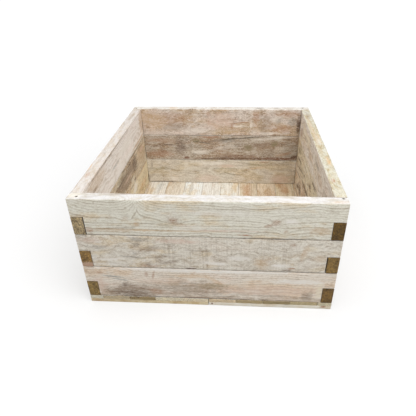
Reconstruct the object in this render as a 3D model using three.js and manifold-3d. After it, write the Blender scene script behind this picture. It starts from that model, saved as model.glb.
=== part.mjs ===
// A square raised garden bed of planed timber. Three courses of boards stand on a plank floor.
// Each course is half-lapped at its corners: the front and back boards' tongues lie on the side
// boards' tongues, and a long screw goes down through both into the course below. Runners lie
// across under the planks. Screws go up through runner and plank into the walls, and at the
// corners up through both tongues of the bottom course.
//
// Millimetres, +Z up. The origin is on the ground under the middle of the bed, whose front
// faces -Y. Left and right are as seen from the front.

import * as THREE from "three";
import { mergeVertices } from "three/addons/utils/BufferGeometryUtils.js";
import Module from "manifold-3d";

const wasm = await Module();
wasm.setup();

// ---------------------------------------------------------------------------------------------
// Driving dimensions

// The walls
const bedWidth = 900; // outside, left to right
const bedDepth = 900; // outside, front to back
const boardHeight = 144;
const boardThickness = 40;
const boardArris = 2.5; // radius of a board's eased long edges
const courseNames = ["bottom", "middle", "top"];

// The corner laps
const tongueHeight = 72; // of a front or back board's tongue, in the upper part of its course
const lapClearance = 0.4; // between the two tongues that lie on each other
const shoulderClearance = 1.2; // between a tongue's side and the shoulder next to it

// The floor
const fullPlanks = 8; // a half-width strip makes up the floor at each side
const plankThickness = 16;
const plankGap = 2; // left open between planks for drainage
const plankArris = 1.2;

// The runners under the floor
const runnerWidth = 98;
const runnerThickness = 16;
const runnerArris = 1.2;
const runnerButtGap = 1.5; // between the two lengths that make up a runner

// Screws
const screwSides = 10;
const screwClearance = 0.3; // all round a screw in its hole
const headSink = 0.6; // depth of a head below the face that it is driven into
const headRim = 0.8; // straight rim of a countersunk head
const cornerShank = 6; // diameter
const cornerHead = 12;
const cornerScrewLength = 200; // reaches into the course below
const lowestCornerScrewLength = 140; // from under the runner into the bottom course
const cornerScrewPoint = 12;
const screwOffsetLong = 11; // a corner screw's offsets from the middle of its lap
const screwOffsetShort = 5;
const floorShank = 4.5;
const floorHead = 9;
const floorScrewLength = 60; // through runner and plank into a wall
const runnerScrewLength = 30; // through the middle runner, ends inside a plank
const floorScrewPoint = 8;

// ---------------------------------------------------------------------------------------------
// Heights and places that follow from them

const floorTop = runnerThickness + plankThickness;
const courseBase = (course) => floorTop + course * boardHeight;
const halfWidth = bedWidth / 2;
const halfDepth = bedDepth / 2;
const plankPitch = bedWidth / (fullPlanks + 1);
const plankWidth = plankPitch - plankGap;
const stripWidth = plankPitch / 2 - plankGap / 2;
const lapLength = boardThickness + shoulderClearance; // a notch's length along its board
const overcut = 20; // how far a cutter reaches past the face that it cuts

// ---------------------------------------------------------------------------------------------
// Materials

const pine = (colour, roughness) =>
  new THREE.MeshStandardMaterial({ color: colour, roughness, metalness: 0 });
const wallPine = { front: 0xc9beab, back: 0xb7a58f, left: 0xc8bdab, right: 0xb9ac98 };
const plankPine = 0xd8c4a4;
const runnerPine = 0xcbb78f;
const steel = new THREE.MeshStandardMaterial({ color: 0x5d5a54, roughness: 0.5, metalness: 0.8 });

// ---------------------------------------------------------------------------------------------
// Solids

// The closed solid inside a geometry's surface.
function solidOf(geometry) {
  const bare = geometry.index ? geometry.toNonIndexed() : geometry.clone();
  bare.deleteAttribute("normal");
  bare.deleteAttribute("uv");
  const merged = mergeVertices(bare, 1e-4);
  return new wasm.Manifold(
    new wasm.Mesh({
      numProp: 3,
      vertProperties: merged.attributes.position.array,
      triVerts: new Uint32Array(merged.index.array),
    }),
  );
}

// A named mesh of a solid.
function pieceOf(name, solid, material) {
  const { numProp, vertProperties, triVerts } = solid.getMesh();
  const positions = new Float32Array((vertProperties.length / numProp) * 3);
  for (let i = 0; i < positions.length / 3; i += 1) {
    positions.set(vertProperties.subarray(i * numProp, i * numProp + 3), i * 3);
  }
  const indexed = new THREE.BufferGeometry();
  indexed.setAttribute("position", new THREE.BufferAttribute(positions, 3));
  indexed.setIndex(new THREE.BufferAttribute(new Uint32Array(triVerts), 1));
  const geometry = indexed.toNonIndexed(); // flat faces keep their own normals
  geometry.computeVertexNormals();
  const mesh = new THREE.Mesh(geometry, material);
  mesh.name = name;
  return mesh;
}

// A rectangle with rounded corners, standing on its lower edge and centred from side to side.
function timberSection(width, height, arris) {
  const right = width / 2;
  const section = new THREE.Shape();
  section.moveTo(-right + arris, 0);
  section.absarc(right - arris, arris, arris, -Math.PI / 2, 0, false);
  section.absarc(right - arris, height - arris, arris, 0, Math.PI / 2, false);
  section.absarc(-right + arris, height - arris, arris, Math.PI / 2, Math.PI, false);
  section.absarc(-right + arris, arris, arris, Math.PI, 1.5 * Math.PI, false);
  return section;
}

// A length of timber, its middle at x, y and its underside at z. It runs along X or along Y.
const arrisSteps = 3;
const axes = {
  x: new THREE.Vector3(1, 0, 0),
  y: new THREE.Vector3(0, 1, 0),
  z: new THREE.Vector3(0, 0, 1),
};
const sectionTo = {
  x: new THREE.Matrix4().makeBasis(axes.y, axes.z, axes.x),
  y: new THREE.Matrix4().makeBasis(axes.x.clone().negate(), axes.z, axes.y),
};
function timber({ along, length, width, height, arris, x = 0, y = 0, z }) {
  const geometry = new THREE.ExtrudeGeometry(timberSection(width, height, arris), {
    depth: length,
    bevelEnabled: false,
    curveSegments: arrisSteps,
  });
  geometry.translate(0, 0, -length / 2);
  geometry.applyMatrix4(sectionTo[along]);
  geometry.translate(x, y, z);
  return solidOf(geometry);
}

// A box between two corners.
function block([x0, y0, z0], [x1, y1, z1]) {
  const geometry = new THREE.BoxGeometry(x1 - x0, y1 - y0, z1 - z0);
  geometry.translate((x0 + x1) / 2, (y0 + y1) / 2, (z0 + z1) / 2);
  return solidOf(geometry);
}

// ---------------------------------------------------------------------------------------------
// Screws. Each has its place, the way it points and the names of the timbers that it goes through.

// A countersunk screw's outline, grown by a clearance. Its head's face is at 0 and its point at
// its length. A cutter's mouth runs on past the face.
function screwOutline({ shank, head, length, point }, grown = 0, mouth = 0) {
  const headRadius = head / 2 + grown;
  const shankRadius = shank / 2 + grown;
  const cone = headRim + (head - shank) / 2;
  const outline = [
    [0, -mouth],
    [headRadius, -mouth],
    [headRadius, headRim],
    [shankRadius, cone],
    [shankRadius, length - point],
    [0, length + grown],
  ];
  return outline.map(([radius, down]) => new THREE.Vector2(radius, -down)).reverse();
}

function screwSolid(screw, grown, mouth) {
  const geometry = new THREE.LatheGeometry(screwOutline(screw, grown, mouth), screwSides);
  geometry.rotateX(Math.PI / 2); // the outline's axis, from Y to Z
  if (screw.pointsUp) {
    geometry.rotateX(Math.PI);
  }
  geometry.translate(screw.x, screw.y, screw.faceAt);
  return solidOf(geometry);
}

const screwPiece = (screw) => pieceOf(screw.name, screwSolid(screw), steel);
const screwCutter = (screw) => screwSolid(screw, screwClearance, headSink + overcut);

// The corners, each with its two signs and its two walls. The screws keep clear of those in the
// next course by lying on the other side of the lap's middle.
const corners = [
  { name: "front_left", atX: -1, atY: -1, ends: "front", side: "left" },
  { name: "front_right", atX: 1, atY: -1, ends: "front", side: "right" },
  { name: "back_left", atX: -1, atY: 1, ends: "back", side: "left" },
  { name: "back_right", atX: 1, atY: 1, ends: "back", side: "right" },
];

function cornerScrew(corner, course) {
  const swapped = corner.atX * corner.atY < 0;
  const turn = course % 2 === 0 ? 1 : -1;
  const inX = turn * (swapped ? -screwOffsetShort : screwOffsetLong);
  const inY = turn * (swapped ? screwOffsetLong : -screwOffsetShort);
  const laps = [`${corner.ends}_board_${courseNames[course]}`];
  laps.push(`${corner.side}_board_${courseNames[course]}`);
  const screw = {
    name: `corner_screw_${courseNames[course]}_${corner.name}`,
    x: corner.atX * (halfWidth - boardThickness / 2 - inX),
    y: corner.atY * (halfDepth - boardThickness / 2 - inY),
    shank: cornerShank,
    head: cornerHead,
    point: cornerScrewPoint,
  };
  if (course === 0) {
    screw.pointsUp = true;
    screw.faceAt = headSink;
    screw.length = lowestCornerScrewLength;
    screw.through = [`runner_${corner.ends}_${corner.side}`, `floor_strip_${corner.side}`, ...laps];
  } else {
    screw.pointsUp = false;
    screw.faceAt = courseBase(course + 1) - headSink;
    screw.length = cornerScrewLength;
    screw.through = [...laps, `${corner.ends}_board_${courseNames[course - 1]}`];
  }
  return screw;
}

// A screw up through a runner and a plank. Under a wall it goes on into the wall.
function floorScrew(row, plank) {
  const under = row.atY !== 0;
  return {
    name: `${row.name}_screw_${plank.name}`,
    x: plank.x,
    y: row.atY * (halfDepth - boardThickness / 2),
    faceAt: headSink,
    pointsUp: true,
    shank: floorShank,
    head: floorHead,
    length: under ? floorScrewLength : runnerScrewLength,
    point: floorScrewPoint,
    through: [
      `runner_${row.name}_${plank.x < 0 ? "left" : "right"}`,
      plank.name,
      under ? `${row.name}_board_${courseNames[0]}` : "",
    ],
  };
}

// ---------------------------------------------------------------------------------------------
// Timbers

// Cuts the holes of the screws that go through a timber.
function drilled(name, solid, screws) {
  const through = screws.filter((screw) => screw.through.includes(name));
  return through.reduce((left, screw) => left.subtract(screwCutter(screw)), solid);
}

// Front and back boards run the whole width. Their tongues are the upper part of each end, so
// the lower part is notched for the side boards' tongues.
function endBoard(wall, course) {
  const z = courseBase(course);
  const notchTop = z + boardHeight - tongueHeight + lapClearance / 2;
  const shoulder = halfWidth - lapLength;
  const y = wall.at * (halfDepth - boardThickness / 2);
  const near = y - boardThickness;
  const far = y + boardThickness;
  const board = timber({
    along: "x",
    length: bedWidth,
    width: boardThickness,
    height: boardHeight,
    arris: boardArris,
    y,
    z,
  });
  return board
    .subtract(block([-halfWidth - overcut, near, z - overcut], [-shoulder, far, notchTop]))
    .subtract(block([shoulder, near, z - overcut], [halfWidth + overcut, far, notchTop]));
}

// Side boards run the whole depth. Their tongues are the lower part of each end.
function sideBoard(wall, course) {
  const z = courseBase(course);
  const top = z + boardHeight + overcut;
  const notchBase = z + boardHeight - tongueHeight - lapClearance / 2;
  const shoulder = halfDepth - lapLength;
  const x = wall.at * (halfWidth - boardThickness / 2);
  const near = x - boardThickness;
  const far = x + boardThickness;
  const board = timber({
    along: "y",
    length: bedDepth,
    width: boardThickness,
    height: boardHeight,
    arris: boardArris,
    x,
    z,
  });
  return board
    .subtract(block([near, -halfDepth - overcut, notchBase], [far, -shoulder, top]))
    .subtract(block([near, shoulder, notchBase], [far, halfDepth + overcut, top]));
}

const walls = [
  { name: "front", at: -1, build: endBoard },
  { name: "back", at: 1, build: endBoard },
  { name: "left", at: -1, build: sideBoard },
  { name: "right", at: 1, build: sideBoard },
];

// The floor's planks: full ones from left to right, then the strips at both sides.
const planks = [];
for (let i = 0; i < fullPlanks; i += 1) {
  const x = (i - (fullPlanks - 1) / 2) * plankPitch;
  planks.push({ name: `floor_plank_${i + 1}`, x, width: plankWidth });
}
const strips = [
  { name: "floor_strip_left", x: -halfWidth + stripWidth / 2, width: stripWidth },
  { name: "floor_strip_right", x: halfWidth - stripWidth / 2, width: stripWidth },
];

const plankSolid = (plank) =>
  timber({
    along: "y",
    length: bedDepth,
    width: plank.width,
    height: plankThickness,
    arris: plankArris,
    x: plank.x,
    z: runnerThickness,
  });

// Three rows of runners, each of two lengths that meet under the middle of the bed.
const runnerRows = [
  { name: "front", atY: -1 },
  { name: "middle", atY: 0 },
  { name: "back", atY: 1 },
];
const runnerSides = [
  { name: "left", atX: -1 },
  { name: "right", atX: 1 },
];
const runnerLength = (bedWidth - runnerButtGap) / 2;

const runnerSolid = (row, side) =>
  timber({
    along: "x",
    length: runnerLength,
    width: runnerWidth,
    height: runnerThickness,
    arris: runnerArris,
    x: side.atX * (halfWidth - runnerLength / 2),
    y: row.atY * (halfDepth - runnerWidth / 2),
    z: 0,
  });

// ---------------------------------------------------------------------------------------------
// The bed

const cornerScrews = courseNames.flatMap((_, course) =>
  corners.map((corner) => cornerScrew(corner, course)),
);
// Every plank is screwed at both ends. Each length of the middle runner hangs on the first and
// the last plank above it.
const middlePlanks = [0, fullPlanks / 2 - 1, fullPlanks / 2, fullPlanks - 1];
const floorScrews = runnerRows.flatMap((row) =>
  planks
    .filter((_, i) => row.atY !== 0 || middlePlanks.includes(i))
    .map((plank) => floorScrew(row, plank)),
);
const screws = [...cornerScrews, ...floorScrews];

const bed = new THREE.Group();
bed.name = "raised_garden_bed";

courseNames.forEach((courseName, course) => {
  walls.forEach((wall) => {
    const name = `${wall.name}_board_${courseName}`;
    const solid = drilled(name, wall.build(wall, course), screws);
    bed.add(pieceOf(name, solid, pine(wallPine[wall.name], 0.85)));
  });
});

[...planks, ...strips].forEach((plank) => {
  const solid = drilled(plank.name, plankSolid(plank), screws);
  bed.add(pieceOf(plank.name, solid, pine(plankPine, 0.8)));
});

runnerRows.forEach((row) => {
  runnerSides.forEach((side) => {
    const name = `runner_${row.name}_${side.name}`;
    const solid = drilled(name, runnerSolid(row, side), screws);
    bed.add(pieceOf(name, solid, pine(runnerPine, 0.85)));
  });
});

screws.forEach((screw) => bed.add(screwPiece(screw)));

export default bed;
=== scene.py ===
# %% [markdown]
# # A raised garden bed in weathered timber
#
# The bed is a square box without a lid. Three courses of heavy softwood boards stand on a plank floor, and
# every corner is half-lapped: the front and back boards keep the upper half of their ends, the side boards
# keep the lower half, and a long screw pins the lap. Thin runners lift the floor off the ground.
#
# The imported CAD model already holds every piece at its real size, and it is loaded here as a fixed frame.
# What this lesson adds is the timber itself: edges that the planer and the weather have softened, grain that
# runs through each board as it ran through the log, knots, stains, end grain and real screw heads.

# %% Load the frame
import math
import random
from collections import namedtuple

import bpy
import bmesh
from mathutils import Matrix, Vector


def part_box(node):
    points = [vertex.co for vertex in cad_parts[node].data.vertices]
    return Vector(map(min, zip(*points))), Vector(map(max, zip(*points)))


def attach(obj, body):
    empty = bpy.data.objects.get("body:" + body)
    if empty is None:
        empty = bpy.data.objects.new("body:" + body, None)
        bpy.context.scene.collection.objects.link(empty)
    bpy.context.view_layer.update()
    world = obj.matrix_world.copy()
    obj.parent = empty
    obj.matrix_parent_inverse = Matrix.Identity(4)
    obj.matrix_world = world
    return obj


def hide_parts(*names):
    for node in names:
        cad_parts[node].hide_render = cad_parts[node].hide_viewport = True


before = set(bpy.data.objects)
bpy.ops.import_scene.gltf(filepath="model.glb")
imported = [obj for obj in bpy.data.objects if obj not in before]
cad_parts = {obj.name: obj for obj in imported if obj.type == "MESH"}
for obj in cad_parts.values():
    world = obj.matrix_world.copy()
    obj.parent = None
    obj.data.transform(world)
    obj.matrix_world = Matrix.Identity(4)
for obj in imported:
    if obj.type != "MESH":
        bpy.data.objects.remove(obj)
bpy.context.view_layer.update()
BODY = "root"

# %% [markdown]
# ## The view
#
# The camera stands a little to the right of the middle and looks down into the bed. Its place, its turn and
# its lens come from lining up the bed's corners with those in the photograph, whose middle was cropped, so
# the lens is shifted a little too.

# %% Camera
PHOTO_WIDTH = 416  # pixels, and as high as it is wide
FOCAL_PIXELS = 379.1
MIDDLE_PIXEL = (218.6, 185.4)  # where the lens's axis meets the picture
EYE = Vector((0.1117, -1.4439, 1.1105))
YAW, PITCH, ROLL = (math.radians(angle) for angle in (3.880, -30.525, 1.034))


def make_camera():
    data = bpy.data.cameras.new("camera")
    data.lens = data.sensor_width * FOCAL_PIXELS / PHOTO_WIDTH
    data.shift_x = (PHOTO_WIDTH / 2 - MIDDLE_PIXEL[0]) / PHOTO_WIDTH
    data.shift_y = (MIDDLE_PIXEL[1] - PHOTO_WIDTH / 2) / PHOTO_WIDTH
    camera = bpy.data.objects.new("camera", data)
    level = Matrix.Rotation(math.radians(90), 4, "X")  # from looking down to looking along +Y
    turn = Matrix.Rotation(YAW, 4, "Z") @ Matrix.Rotation(PITCH, 4, "X") @ Matrix.Rotation(ROLL, 4, "Y")
    camera.matrix_world = Matrix.Translation(EYE) @ turn @ level
    bpy.context.scene.collection.objects.link(camera)
    bpy.context.scene.camera = camera
    return camera


camera = make_camera()
print("lens in millimetres:", round(camera.data.lens, 2))

# %% [markdown]
# ## A bench for node trees
#
# Shapes and finishes below are both made of nodes, and most nodes are plain sums. Wiring them by hand hides
# what they work out, so a small class wraps a socket and gives it the usual signs. Then a sum on sockets
# reads like a sum on numbers, and each sign adds its Math or Vector Math node.

# %% Sums on sockets
class Wire:
    """The value of one output socket."""

    def __init__(self, bench, socket):
        self.bench = bench
        self.socket = socket

    def __add__(self, other):
        return self.bench.sums("ADD", self, other)

    def __sub__(self, other):
        return self.bench.sums("SUBTRACT", self, other)

    def __rsub__(self, other):
        return self.bench.sums("SUBTRACT", other, self)

    def __mul__(self, other):
        return self.bench.sums("MULTIPLY", self, other)

    def __truediv__(self, other):
        return self.bench.sums("DIVIDE", self, other)

    def __rtruediv__(self, other):
        return self.bench.sums("DIVIDE", other, self)

    def __neg__(self):
        return self.bench.sums("MULTIPLY", self, -1.0)

    __radd__ = __add__
    __rmul__ = __mul__


class Bench:
    """A node tree in the making. add() and make() add any node, and the other methods the usual ones."""

    def __init__(self, tree):
        self.tree = tree

    def add(self, kind, settings=None, sockets=None):
        node = self.tree.nodes.new(kind)
        for name, value in (settings or {}).items():
            setattr(node, name, value)
        for key, value in (sockets or {}).items():
            self.feed(node.inputs[key], value)
        return node

    def feed(self, socket, value):
        if isinstance(value, Wire):
            self.tree.links.new(value.socket, socket)
        elif isinstance(value, (list, tuple)) and value and isinstance(value[0], Wire):
            for wire in value:
                self.tree.links.new(wire.socket, socket)
        else:
            colour = socket.type == "RGBA" and len(value) == 3
            socket.default_value = (*value, 1.0) if colour else value

    def out(self, node, key=0):
        return Wire(self, node.outputs[key])

    def make(self, kind, settings=None, sockets=None, key=0):
        """Adds a node and gives one of its outputs."""
        return self.out(self.add(kind, settings, sockets), key)

    def sums(self, operation, *values):
        """A sum on numbers, on vectors or on a vector and a number."""
        vectors = [self.is_vector(value) for value in values]
        if not any(vectors):
            return self.maths(operation, *values)
        if operation == "MULTIPLY" and not all(vectors):
            vector, factor = values if vectors[0] else reversed(values)
            return self.vectors("SCALE", vector, scale=factor)
        return self.vectors(operation, *values)

    @staticmethod
    def is_vector(value):
        if isinstance(value, Wire):
            return value.socket.type in ("VECTOR", "RGBA")
        return isinstance(value, (tuple, Vector))

    def maths(self, operation, *values):
        return self.make("ShaderNodeMath", {"operation": operation}, dict(enumerate(values)))

    def blend(self, share, under, over):
        """A colour between two: all under at 0, all over at 1."""
        return self.make("ShaderNodeMix", {"data_type": "RGBA"}, {0: share, 6: under, 7: over}, 2)

    def vectors(self, operation, *values, scale=None):
        node = self.add("ShaderNodeVectorMath", {"operation": operation}, dict(enumerate(values)))
        if scale is not None:
            self.feed(node.inputs["Scale"], scale)
        return self.out(node)

    def length(self, vector):
        return self.make("ShaderNodeVectorMath", {"operation": "LENGTH"}, {0: vector}, "Value")

    def parts(self, vector):
        node = self.add("ShaderNodeSeparateXYZ", None, {0: vector})
        return [self.out(node, i) for i in range(3)]

    def point(self, x, y, z):
        return self.make("ShaderNodeCombineXYZ", None, {0: x, 1: y, 2: z})

    def ramp(self, value, low, high, start=0.0, end=1.0, smooth=False):
        """start below low, end above high, and even or smooth in between."""
        settings = {"interpolation_type": "SMOOTHSTEP" if smooth else "LINEAR", "clamp": True}
        sockets = {"Value": value, 1: low, 2: high, 3: start, 4: end}
        return self.make("ShaderNodeMapRange", settings, sockets)

    def noise(self, where, scale=1.0, detail=2.0, roughness=0.5, colour=False):
        sockets = {"Vector": where, "Scale": scale, "Detail": detail, "Roughness": roughness}
        return self.make("ShaderNodeTexNoise", {"noise_dimensions": "3D"}, sockets, "Color" if colour else 0)


print("bench ready")

# %% [markdown]
# ## One rule for every timber
#
# Boards, floor planks and runners are all sawn, planed and cut to length in the same way. So one Geometry
# Nodes tree makes the blank of any of them from its sizes. It lays out a grid for one face, with a row and a
# column that fall exactly on the lap's cuts, takes the notches out of it, and pulls it through the
# thickness. A box with two boxes cut away would have the same outline, but its few large faces couldn't
# bend, wear or dent later on. The tree also marks the edges that the planer rounded, for a Bevel modifier.
#
# A blank lies along X with its thickness along Y and its width along Z. Its notches, if it has any, are at
# the lower corners.

# %% The sizes that come from the frame
MM = 0.001


def node_size(name):
    low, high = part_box(name)
    return high - low


board = node_size("front_board_top")
BOARD_THICK, BOARD_HIGH = board.y, board.z
COURSES = ("bottom", "middle", "top")
TONGUE_HIGH = BOARD_HIGH / 2
SHOULDER_GAP = 1.2 * MM
TIGHT_GAP = 0.3 * MM  # at the shoulders of the side boards, which the screws pull in
LAP_GAP = 0.4 * MM
print("a board in millimetres:", [round(side / MM, 1) for side in board])


# %% Opening and closing a tree
def open_tree(kind, name, inputs, outputs):
    """An empty node group. Inputs and outputs are written as "Kind: name, name", one kind a line."""
    tree = bpy.data.node_groups.new(name, kind)
    for way, lines in (("INPUT", inputs), ("OUTPUT", outputs)):
        for line in lines:
            sort, labels = line.split(": ")
            for label in labels.split(", "):
                tree.interface.new_socket(label, in_out=way, socket_type="NodeSocket" + sort)
    bench = Bench(tree)
    source = bench.add("NodeGroupInput")
    return bench, {socket.name: bench.out(source, socket.name) for socket in source.outputs if socket.name}


def new_tree(name, inputs):
    """An empty geometry tree with the inputs, a geometry and a material."""
    inputs = ["Geometry: Geometry", *inputs, "Material: Material"]
    return open_tree("GeometryNodeTree", name, inputs, ["Geometry: Geometry"])


def end_tree(bench, geometry, material):
    """Realize Instances, Set Material and the output, as every tree here ends."""
    real = bench.make("GeometryNodeRealizeInstances", None, {0: geometry})
    painted = bench.make("GeometryNodeSetMaterial", None, {"Geometry": real, "Material": material})
    bench.add("NodeGroupOutput", None, {"Geometry": painted})
    return bench.tree


def add_tree(piece, tree, values):
    """A Geometry Nodes modifier with its inputs set by their identifiers."""
    modifier = piece.modifiers.new(tree.name, "NODES")
    modifier.node_group = tree
    names = {item.name: item.identifier for item in tree.interface.items_tree if item.in_out == "INPUT"}
    for label, value in values.items():
        modifier[names[label]] = value
    return modifier


# %% Steps in a tree that come again
WELD = 0.01 * MM  # points nearer to each other than this are one


def step_grid(bench, columns, rows):
    """A flat grid with a point at each step, and the column and the row of each point."""
    sockets = {"Size X": columns, "Size Y": rows, "Vertices X": columns + 1, "Vertices Y": rows + 1}
    grid = bench.make("GeometryNodeMeshGrid", None, sockets, "Mesh")
    x, y, _ = bench.parts(bench.make("GeometryNodeInputPosition"))
    return grid, x + columns / 2, y + rows / 2


def moved(bench, geometry, way, value):
    """The way is Position for a new place and Offset for a move."""
    return bench.make("GeometryNodeSetPosition", None, {"Geometry": geometry, way: value})


def flipped(bench, mesh):
    return bench.make("GeometryNodeFlipFaces", None, {"Mesh": mesh})


def welded(bench, geometry, distance):
    return bench.make("GeometryNodeMergeByDistance", None, {"Geometry": geometry, "Distance": distance})


# %% The blank's first face
END_COLUMNS = 10  # columns of the grid from each end to the lap's shoulder


def face_sheet(bench, given):
    """From grid steps to metres: the steps up to a cut share the stretch up to that cut."""
    columns = given["Columns"] + 2 * END_COLUMNS
    rows = given["Rows"] * 2
    grid, column, row = step_grid(bench, columns, rows)
    left = given["Left Notch"] - given["Left Short"]
    right = given["Right Notch"] - given["Right Short"]
    middle = given["Length"] - given["Left Notch"] - given["Right Notch"]
    along = given["Left Short"] - given["Length"] / 2
    along = along + bench.ramp(column, 0, END_COLUMNS, 0, left)
    along = along + bench.ramp(column, END_COLUMNS, columns - END_COLUMNS, 0, middle)
    along = along + bench.ramp(column, columns - END_COLUMNS, columns, 0, right)
    up = bench.ramp(row, 0, given["Rows"], 0, given["Notch Height"]) - given["Width"] / 2
    up = up + bench.ramp(row, given["Rows"], rows, 0, given["Width"] - given["Notch Height"])
    face = bench.point(along, given["Thickness"] / -2, up)
    return flipped(bench, moved(bench, grid, "Position", face))


# %% The blank's notches
def notched(bench, given, sheet):
    """The sheet without the faces below the cut and beyond either shoulder."""
    x, _, z = bench.parts(bench.make("GeometryNodeInputPosition"))
    below = bench.maths("LESS_THAN", z, given["Notch Height"] - given["Width"] / 2)
    before = bench.maths("LESS_THAN", x, given["Left Notch"] - given["Length"] / 2)
    after = bench.maths("GREATER_THAN", x, given["Length"] / 2 - given["Right Notch"])
    gone = below * bench.maths("MAXIMUM", before, after) * given["Notched"]
    sockets = {"Geometry": sheet, "Selection": gone}
    return bench.make("GeometryNodeDeleteGeometry", {"domain": "FACE"}, sockets)


# %% The blank's thickness
def pulled_through(bench, given, sheet):
    """Layer by layer through the thickness, then the first face again to close the back."""
    step = bench.point(0.0, given["Thickness"] / given["Layers"], 0.0)
    repeat_in = bench.add("GeometryNodeRepeatInput")
    repeat_out = bench.add("GeometryNodeRepeatOutput")
    repeat_in.pair_with_output(repeat_out)
    repeat_out.repeat_items.new("BOOLEAN", "Top")
    bench.feed(repeat_in.inputs["Iterations"], given["Layers"])
    bench.feed(repeat_in.inputs["Geometry"], sheet)
    bench.feed(repeat_in.inputs["Top"], True)
    sockets = {"Mesh": bench.out(repeat_in, "Geometry"), "Selection": bench.out(repeat_in, "Top")}
    sockets.update({"Offset": step, "Offset Scale": 1.0, "Individual": False})
    pulled = bench.add("GeometryNodeExtrudeMesh", {"mode": "FACES"}, sockets)
    bench.feed(repeat_out.inputs["Geometry"], bench.out(pulled, "Mesh"))
    bench.feed(repeat_out.inputs["Top"], bench.out(pulled, "Top"))
    halves = [bench.out(repeat_out, "Geometry"), flipped(bench, sheet)]
    return welded(bench, bench.make("GeometryNodeJoinGeometry", None, {0: halves}), WELD)


# %% The blank's rounded edges
EDGE_ON_END = 0.35  # how much of the planed edges' rounding an end's edges have
SHARP = 1.0  # an edge that turns by more than this many radians stands out


def edges_weighed(bench, solid):
    """Which edges are rounded: those that stand out, fully where they run along the timber."""
    angle = bench.make("GeometryNodeInputMeshEdgeAngle", key="Signed Angle")
    stands_out = bench.maths("GREATER_THAN", angle, SHARP)
    edge = bench.add("GeometryNodeInputMeshEdgeVertices")
    run = bench.out(edge, "Position 1") - bench.out(edge, "Position 2")
    runs_along = bench.maths("GREATER_THAN", bench.maths("ABSOLUTE", bench.parts(run)[0]), WELD)
    weight = stands_out * bench.ramp(runs_along, 0, 1, EDGE_ON_END, 1)
    settings = {"data_type": "FLOAT", "domain": "EDGE"}
    sockets = {"Geometry": solid, "Name": "bevel_weight_edge", "Value": weight}
    return bench.make("GeometryNodeStoreNamedAttribute", settings, sockets)


# %% The blank's tree
def blank_tree():
    """A timber's blank round its own middle, made in four steps."""
    bench, given = new_tree("timber blank", [
        "Float: Length, Width, Thickness, Left Notch, Right Notch, Notch Height, Left Short, Right Short",
        "Int: Columns, Rows, Layers", "Bool: Notched",
    ])
    sheet = notched(bench, given, face_sheet(bench, given))
    solid = edges_weighed(bench, pulled_through(bench, given, sheet))
    return end_tree(bench, solid, given["Material"])


BLANK = blank_tree()
print("blank tree:", len(BLANK.nodes), "nodes")

# %% [markdown]
# ## Wear
#
# Timber that has stood outside isn't true any more. A board cups a little across its width, its planed
# face is faintly rippled, and its edges are rubbed back here and dented there. A second tree moves the
# blank's points by those rules. Each move goes inwards, so no timber grows past its real size. A texture
# could only paint this, but then the light along the edges would still be dead straight.

# %% The wear tree
EDGE_REACH = 7 * MM  # how far from a long edge it is rubbed
RUB_NOISE = (11.0, 3.0, 3.0)  # steps a metre along, through and up the timber
DENT_NOISE = (38.0, 60.0, 60.0)
RIPPLE_NOISE = (26.0, 12.0, 12.0)
SEED_STEP = (3.7, 1.3, 5.1)  # how far apart two seeds' noises lie


def wear_tree():
    """Moves a blank's points and bores its holes."""
    floats = "Float: Width, Thickness, Cup, Ripple, Rub, Dent, Outward, Seed"
    bench, given = new_tree("timber wear", [floats, "Object: Holes", "Bool: Has Holes"])
    place = bench.make("GeometryNodeInputPosition")
    x, y, z = bench.parts(place)
    here = place + bench.point(*[given["Seed"] * step for step in SEED_STEP])

    # How close a point is to one of the long edges.
    from_side = given["Thickness"] / 2 - bench.maths("ABSOLUTE", y)
    from_rim = given["Width"] / 2 - bench.maths("ABSOLUTE", z)
    near_edge = bench.ramp(from_side + from_rim, 0, EDGE_REACH, 1, 0, smooth=True)

    rub = bench.ramp(bench.noise(here * RUB_NOISE, 1.0, 2.0), 0.42, 0.72, 0.12, 1, smooth=True)
    dents = bench.ramp(bench.noise(here * DENT_NOISE, 1.0, 1.0), 0.62, 0.76, 0, 1, smooth=True)
    pressed = near_edge * rub * given["Rub"] + near_edge * dents * given["Dent"]
    ripple = bench.noise(here * RIPPLE_NOISE, 1.0, 3.0) * given["Ripple"]
    inward = bench.make("GeometryNodeInputNormal") * -(pressed + ripple)
    across = z / (given["Width"] / 2)
    cupped = bench.point(0.0, across * across * given["Cup"] * given["Outward"] * -1.0, 0.0)
    worn = moved(bench, given["Geometry"], "Offset", inward + cupped)

    # The holes for the screws, bored last.
    holes = bench.make("GeometryNodeObjectInfo", None, {"Object": given["Holes"]}, "Geometry")
    settings = {"operation": "DIFFERENCE", "solver": "MANIFOLD"}
    bored = bench.make("GeometryNodeMeshBoolean", settings, {"Mesh 1": worn, "Mesh 2": holes}, "Mesh")
    sockets = {"Switch": given["Has Holes"], "False": worn, "True": bored}
    done = bench.make("GeometryNodeSwitch", {"input_type": "GEOMETRY"}, sockets)
    return end_tree(bench, done, given["Material"])


WEAR = wear_tree()
print("wear tree:", len(WEAR.nodes), "nodes")

# %% [markdown]
# ## Screws
#
# Countersunk screws hold the bed together. They are turned parts, so one outline of radius against depth
# describes them, and a Geometry Nodes tree can wrap a grid round an axis by that outline. The thread is a
# ridge that climbs as the angle grows, and the drive is six lobes pressed into the head. The same tree puts
# a copy on each point of a mesh, so the places come straight from the CAD nodes, and turns each copy by a
# random angle, as screws end up.

# %% A screw's outline
AROUND = 24
HEAD_ROWS = 8  # rows of the grid before the thread starts
LOBES = 6
LOBE_REACH = 0.46  # the recess in the head, in shares of the head's radius
LOBE_SWING = 0.15
RECESS_DEEP = 0.5
HEAD_RIM = 0.8 * MM  # straight rim of a countersunk head
HEAD_ARRIS = 0.3 * MM
CORE = 0.72  # radius under the thread, as a share of the shank's
RUN_IN = 2 * MM  # from the plain shank to the thread


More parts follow.
